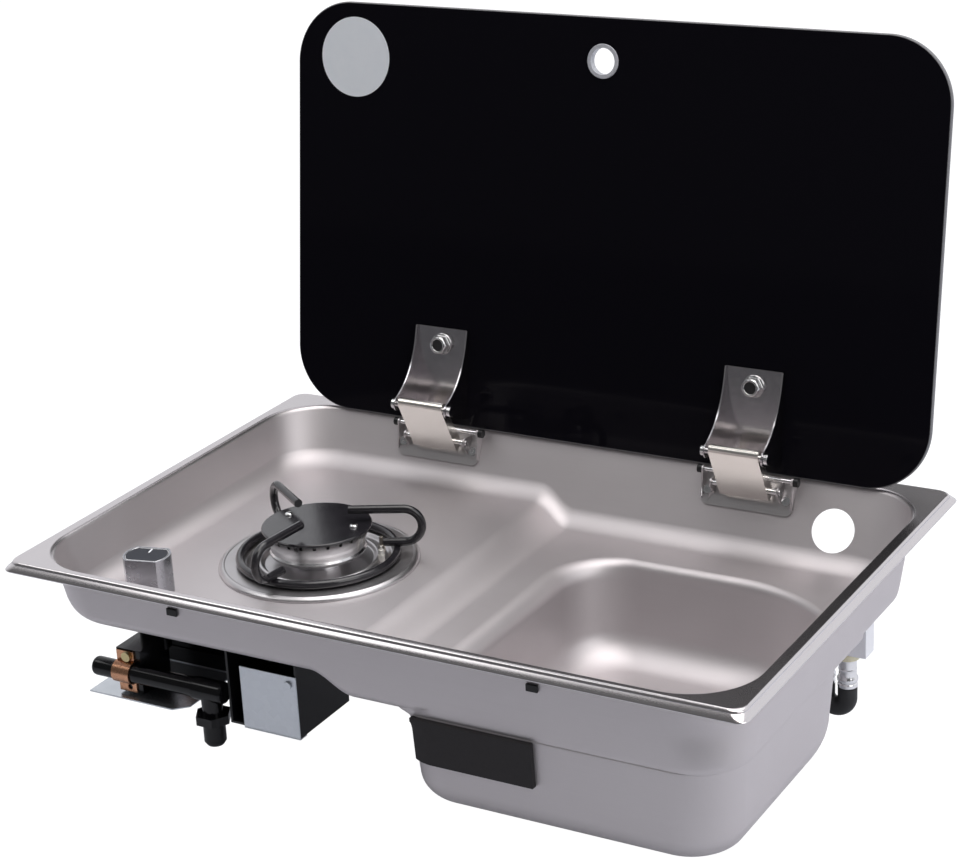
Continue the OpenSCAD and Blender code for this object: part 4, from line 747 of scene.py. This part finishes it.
def lid():
    """The glass sheet: a rounded rectangle whose edge is ground to a quarter round on both faces,
    with the three holes drilled through."""
    rings = []
    quarter = np.linspace(0, math.pi / 2, 6)
    for back, a in [(False, t) for t in quarter[::-1]] + [(True, t) for t in quarter]:
        inset, depth = GRIND * (1 - math.cos(a)), GRIND * (1 - math.sin(a))
        box = (-LID_W / 2 + inset, LID_W / 2 - inset, LID_RISE + inset, LID_RISE + LID_H - inset)
        ring = rect_ring(box, [LID_CORNER - inset] * 4, 0, 40)
        through = LID_T - depth if back else depth
        rings.append(np.stack([ring[:, 0], np.full(len(ring), LID_BACK + through), ring[:, 1]], 1))
    points, faces = stacked(rings)
    glass = outward(solid_from("glass_sheet", lid_points(points), faces, "tinted_glass"))
    bores = []
    bolts = [(side * HINGE_X, BOLT_UP, BOLT_HOLE_R) for side in (-1, 1)]
    for x, z, r in [(0, LID_RISE + LID_H - FINGER_DOWN, FINGER_R)] + bolts:
        points, faces = drum(0, 0, 0, r, 20)
        across, up, through = points.T
        place = np.stack([across + x, through + LID_BACK + LID_T / 2, up + z], 1)
        bores.append((lid_points(place), faces))
    carve(glass, bores, "DIFFERENCE")
    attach(glass, "lid")
    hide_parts("lid_glass")
    shade(glass)


def knob_marks():
    """The knob's light edging round its dark inlay, and the pointer dash. The edging follows the
    knob's plan, a circle cut by two flats. The dash is a half round, u along it from -1 to 1,
    whose width falls as sqrt(1 - u^6)."""
    c, s = math.cos(KNOB_TURN), math.sin(KNOB_TURN)
    rings = []
    for inset, down in ((0.0, 0.7), (0.1, 0.1), (0.6, 0.1), (0.7, 0.7)):
        t = np.linspace(0, 2 * math.pi, 96, endpoint=False)
        r, flat = KNOB_R - inset, KNOB_FLAT - inset
        x, y = r * np.cos(t), np.clip(r * np.sin(t), -flat, flat)
        rings.append(np.stack([x * c - y * s, x * s + y * c, np.full(len(t), KNOB_TOP - down)], 1))
    points = np.concatenate(rings) + (*KNOB, 0)
    faces = grid_faces(len(rings), len(rings[0]), True)[:, ::-1]
    solid_from("knob_edging", points, faces, "polished_steel", "knob_turning")

    middle, reach, half, high = 7.0, 3.6, 0.75, 0.22
    out, turn = np.meshgrid(np.linspace(3.5, 10.5, 24), np.linspace(0, math.pi, 9), indexing="ij")
    wide = half * np.sqrt(np.clip(1 - ((out - middle) / reach) ** 6, 0, 1)) * np.cos(turn)
    points = np.stack([-s * out - c * wide, c * out - s * wide, high * np.sin(turn)], -1)
    points = points.reshape(-1, 3) + (*KNOB, KNOB_TOP - high)
    solid_from("knob_pointer", points, grid_faces(24, 9, False)[:, ::-1], "white_plastic", "knob_turning")


def inlet_thread():
    """The pipe thread: a ridge whose radius swings with height and angle, by the fraction w of
    z / pitch - t / 2 pi, as r = R - deep |2 w - 1|, and which runs out at both ends."""
    rows, sides, low, high, plain, deep, core = 120, 48, -40.5, -25.5, 0.5, 0.34, 8.1
    z = np.linspace(low, high, rows)[:, None]
    t = np.linspace(0, 2 * math.pi, sides, endpoint=False)[None, :]
    r = INLET_R - deep * np.abs(2 * ((z / PITCH - t / (2 * math.pi)) % 1.0) - 1)
    r = np.where((z > high - plain) | (z < low + plain), core, r)
    points = np.stack([r * np.cos(t), r * np.sin(t), z + 0 * t], -1).reshape(-1, 3) + INLET
    solid_from("inlet_thread", points, grid_faces(rows, sides, True), "black_gloss", "chassis")


def dress_nodes():
    """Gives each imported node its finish, welds its triangles, and breaks its edges by the radius
    that such a piece has. A piece whose edges stay sharp is shaded flat."""
    slots = {s["node"]: s["material_slot"] for s in frame["record"]["subparts"]}
    breaks = {"knob": 0.9, "burner_cap": 0.5, "ignition_box": 0.8, "hose_block": 1.2, "inlet_elbow": 0.5,
              "left_flap": 0.35, "right_flap": 0.35, "left_bracket": 0.6, "right_bracket": 0.6,
              "front_plugs": 0.9, "gas_rail": 0.6, "rail_end_plug": 0.6, "round_sticker": 0.0,
              "knob_inlay": 0.0, "left_hinge_base": 0.3, "right_hinge_base": 0.3, "pan_support": 0.5,
              "glass_bolts": 0.5}
    # The brackets take the darker copy of hinge steel, which is painted shade.
    special = {"rail_shelf": "shelf_sheet", "left_bracket": "shaded_bracket_steel",
               "right_bracket": "shaded_bracket_steel", "left_hinge_base": "base_steel",
               "right_hinge_base": "base_steel"}
    for name, node in frame["nodes"].items():
        if node.hide_render:
            continue
        node.data.materials.clear()
        node.data.materials.append(FINISHES[special.get(name, slots[name])].material)
        width = breaks.get(name, PLAIN_BREAK)
        node.data.polygons.foreach_set("use_smooth", np.full(len(node.data.polygons), width > 0))
        node.modifiers.new("weld", "WELD").merge_threshold = WELD
        flat = node.modifiers.new("flat", "DECIMATE")
        flat.decimate_type, flat.angle_limit = "DISSOLVE", math.radians(FLAT_ANGLE)
        if width > 0:
            edge = node.modifiers.new("edge", "BEVEL")
            edge.width, edge.segments, edge.limit_method = width * MM, 3, "ANGLE"
            edge.angle_limit = math.radians(EDGE_ANGLE)
            even = node.modifiers.new("even", "WEIGHTED_NORMAL")
            even.mode, even.weight = "FACE_AREA_WITH_ANGLE", 50


# ---------------------------------------------------------------- studio

def camera():
    """The photograph's camera: place, aim and lens were fitted to the rim, lid and round parts."""
    data = bpy.data.cameras.new("camera")
    data.sensor_fit, data.sensor_width, data.lens = "HORIZONTAL", 36.0, LENS
    data.shift_x, data.shift_y = SHIFT
    data.clip_start, data.clip_end = 0.05, 20
    right, back = Vector(CAMERA_RIGHT).normalized(), Vector(CAMERA_BACK).normalized()
    up = back.cross(right).normalized()
    right = up.cross(back)
    eye = bpy.data.objects.new("camera", data)
    turn = Matrix((right, up, back)).transposed().to_4x4()
    eye.matrix_world = Matrix.Translation(Vector(CAMERA_PLACE) * MM) @ turn
    bpy.context.scene.collection.objects.link(eye)
    bpy.context.scene.camera = eye


def lamp(name, place, size, power, colour):
    """A soft box at a place, turned to face the object."""
    data = bpy.data.lights.new(name, "AREA")
    data.shape, data.energy, data.color = "RECTANGLE", power, colour
    data.size, data.size_y = size
    box = bpy.data.objects.new(name, data)
    turn = (-Vector(place)).to_track_quat("-Z", "Y").to_matrix().to_4x4()
    box.matrix_world = Matrix.Translation(place) @ turn
    bpy.context.scene.collection.objects.link(box)


def room():
    """A pale room: white to the camera, brighter behind the object than in front of it in what
    the steel mirrors, and with a dark card behind it on the right."""
    world = bpy.data.worlds.new("room")
    bpy.context.scene.world = world
    world.use_nodes = True
    sky = Nodes(world.node_tree)
    way, dot = sky.at("Generated"), {"operation": "DOT_PRODUCT"}
    fall = sky.parts("Generated")[1].run(-0.6, 0.5, ROOM_FRONT, ROOM_BACK)
    card = sky.node("ShaderNodeVectorMath", dot, way, CARD_WAY, out="Value").run(0.950, 0.974, 1.0, CARD_LEVEL)
    soft = sky.node("ShaderNodeBackground", {}, (*ROOM_COLOUR, 1), fall * card)
    white = sky.node("ShaderNodeBackground", {}, (1, 1, 1, 1), 1.0)
    share = sky.white_share(camera=1.0, glossy=0.08)
    sky.node("ShaderNodeOutputWorld", {}, sky.node("ShaderNodeMixShader", {}, share, soft, white))


def floor():
    """A plain floor, darker towards the front in what the steel mirrors, and white to the camera
    save for the object's shadow."""
    mesh = bpy.data.meshes.new("floor")
    corners = [(x * FLOOR_HALF, y * FLOOR_HALF, FLOOR_Z) for x, y in ((-1, -1), (1, -1), (1, 1), (-1, 1))]
    mesh.from_pydata(corners, [], [(0, 1, 2, 3)])
    ground = bpy.data.objects.new("floor", mesh)
    bpy.context.scene.collection.objects.link(ground)
    paper = bpy.data.materials.new("paper")
    paper.use_nodes = True
    sheet = Nodes(paper.node_tree)
    tone = sheet.mix(sheet.parts()[1].run(-1.3, 0.0, course="LINEAR"), FLOOR_FRONT, FLOOR_BACK)
    dull = sheet.node("ShaderNodeBsdfDiffuse", {}, tone)
    white = sheet.node("ShaderNodeEmission", {}, (1, 1, 1, 1), 1.2)
    share = sheet.white_share(camera=0.84, glossy=0.05)
    sheet.node("ShaderNodeOutputMaterial", {}, sheet.node("ShaderNodeMixShader", {}, share, dull, white))
    mesh.materials.append(paper)


def studio():
    """Room, floor and three soft boxes."""
    room()
    floor()
    for row in LAMPS:
        lamp(*row)
    bpy.context.scene.view_settings.view_transform = "Standard"


camera()
studio()
tray_and_bowl()
bowl_seam()
pad()
drip_ring()
bolt_sockets()
lid()
knob_marks()
inlet_thread()
dress_nodes()
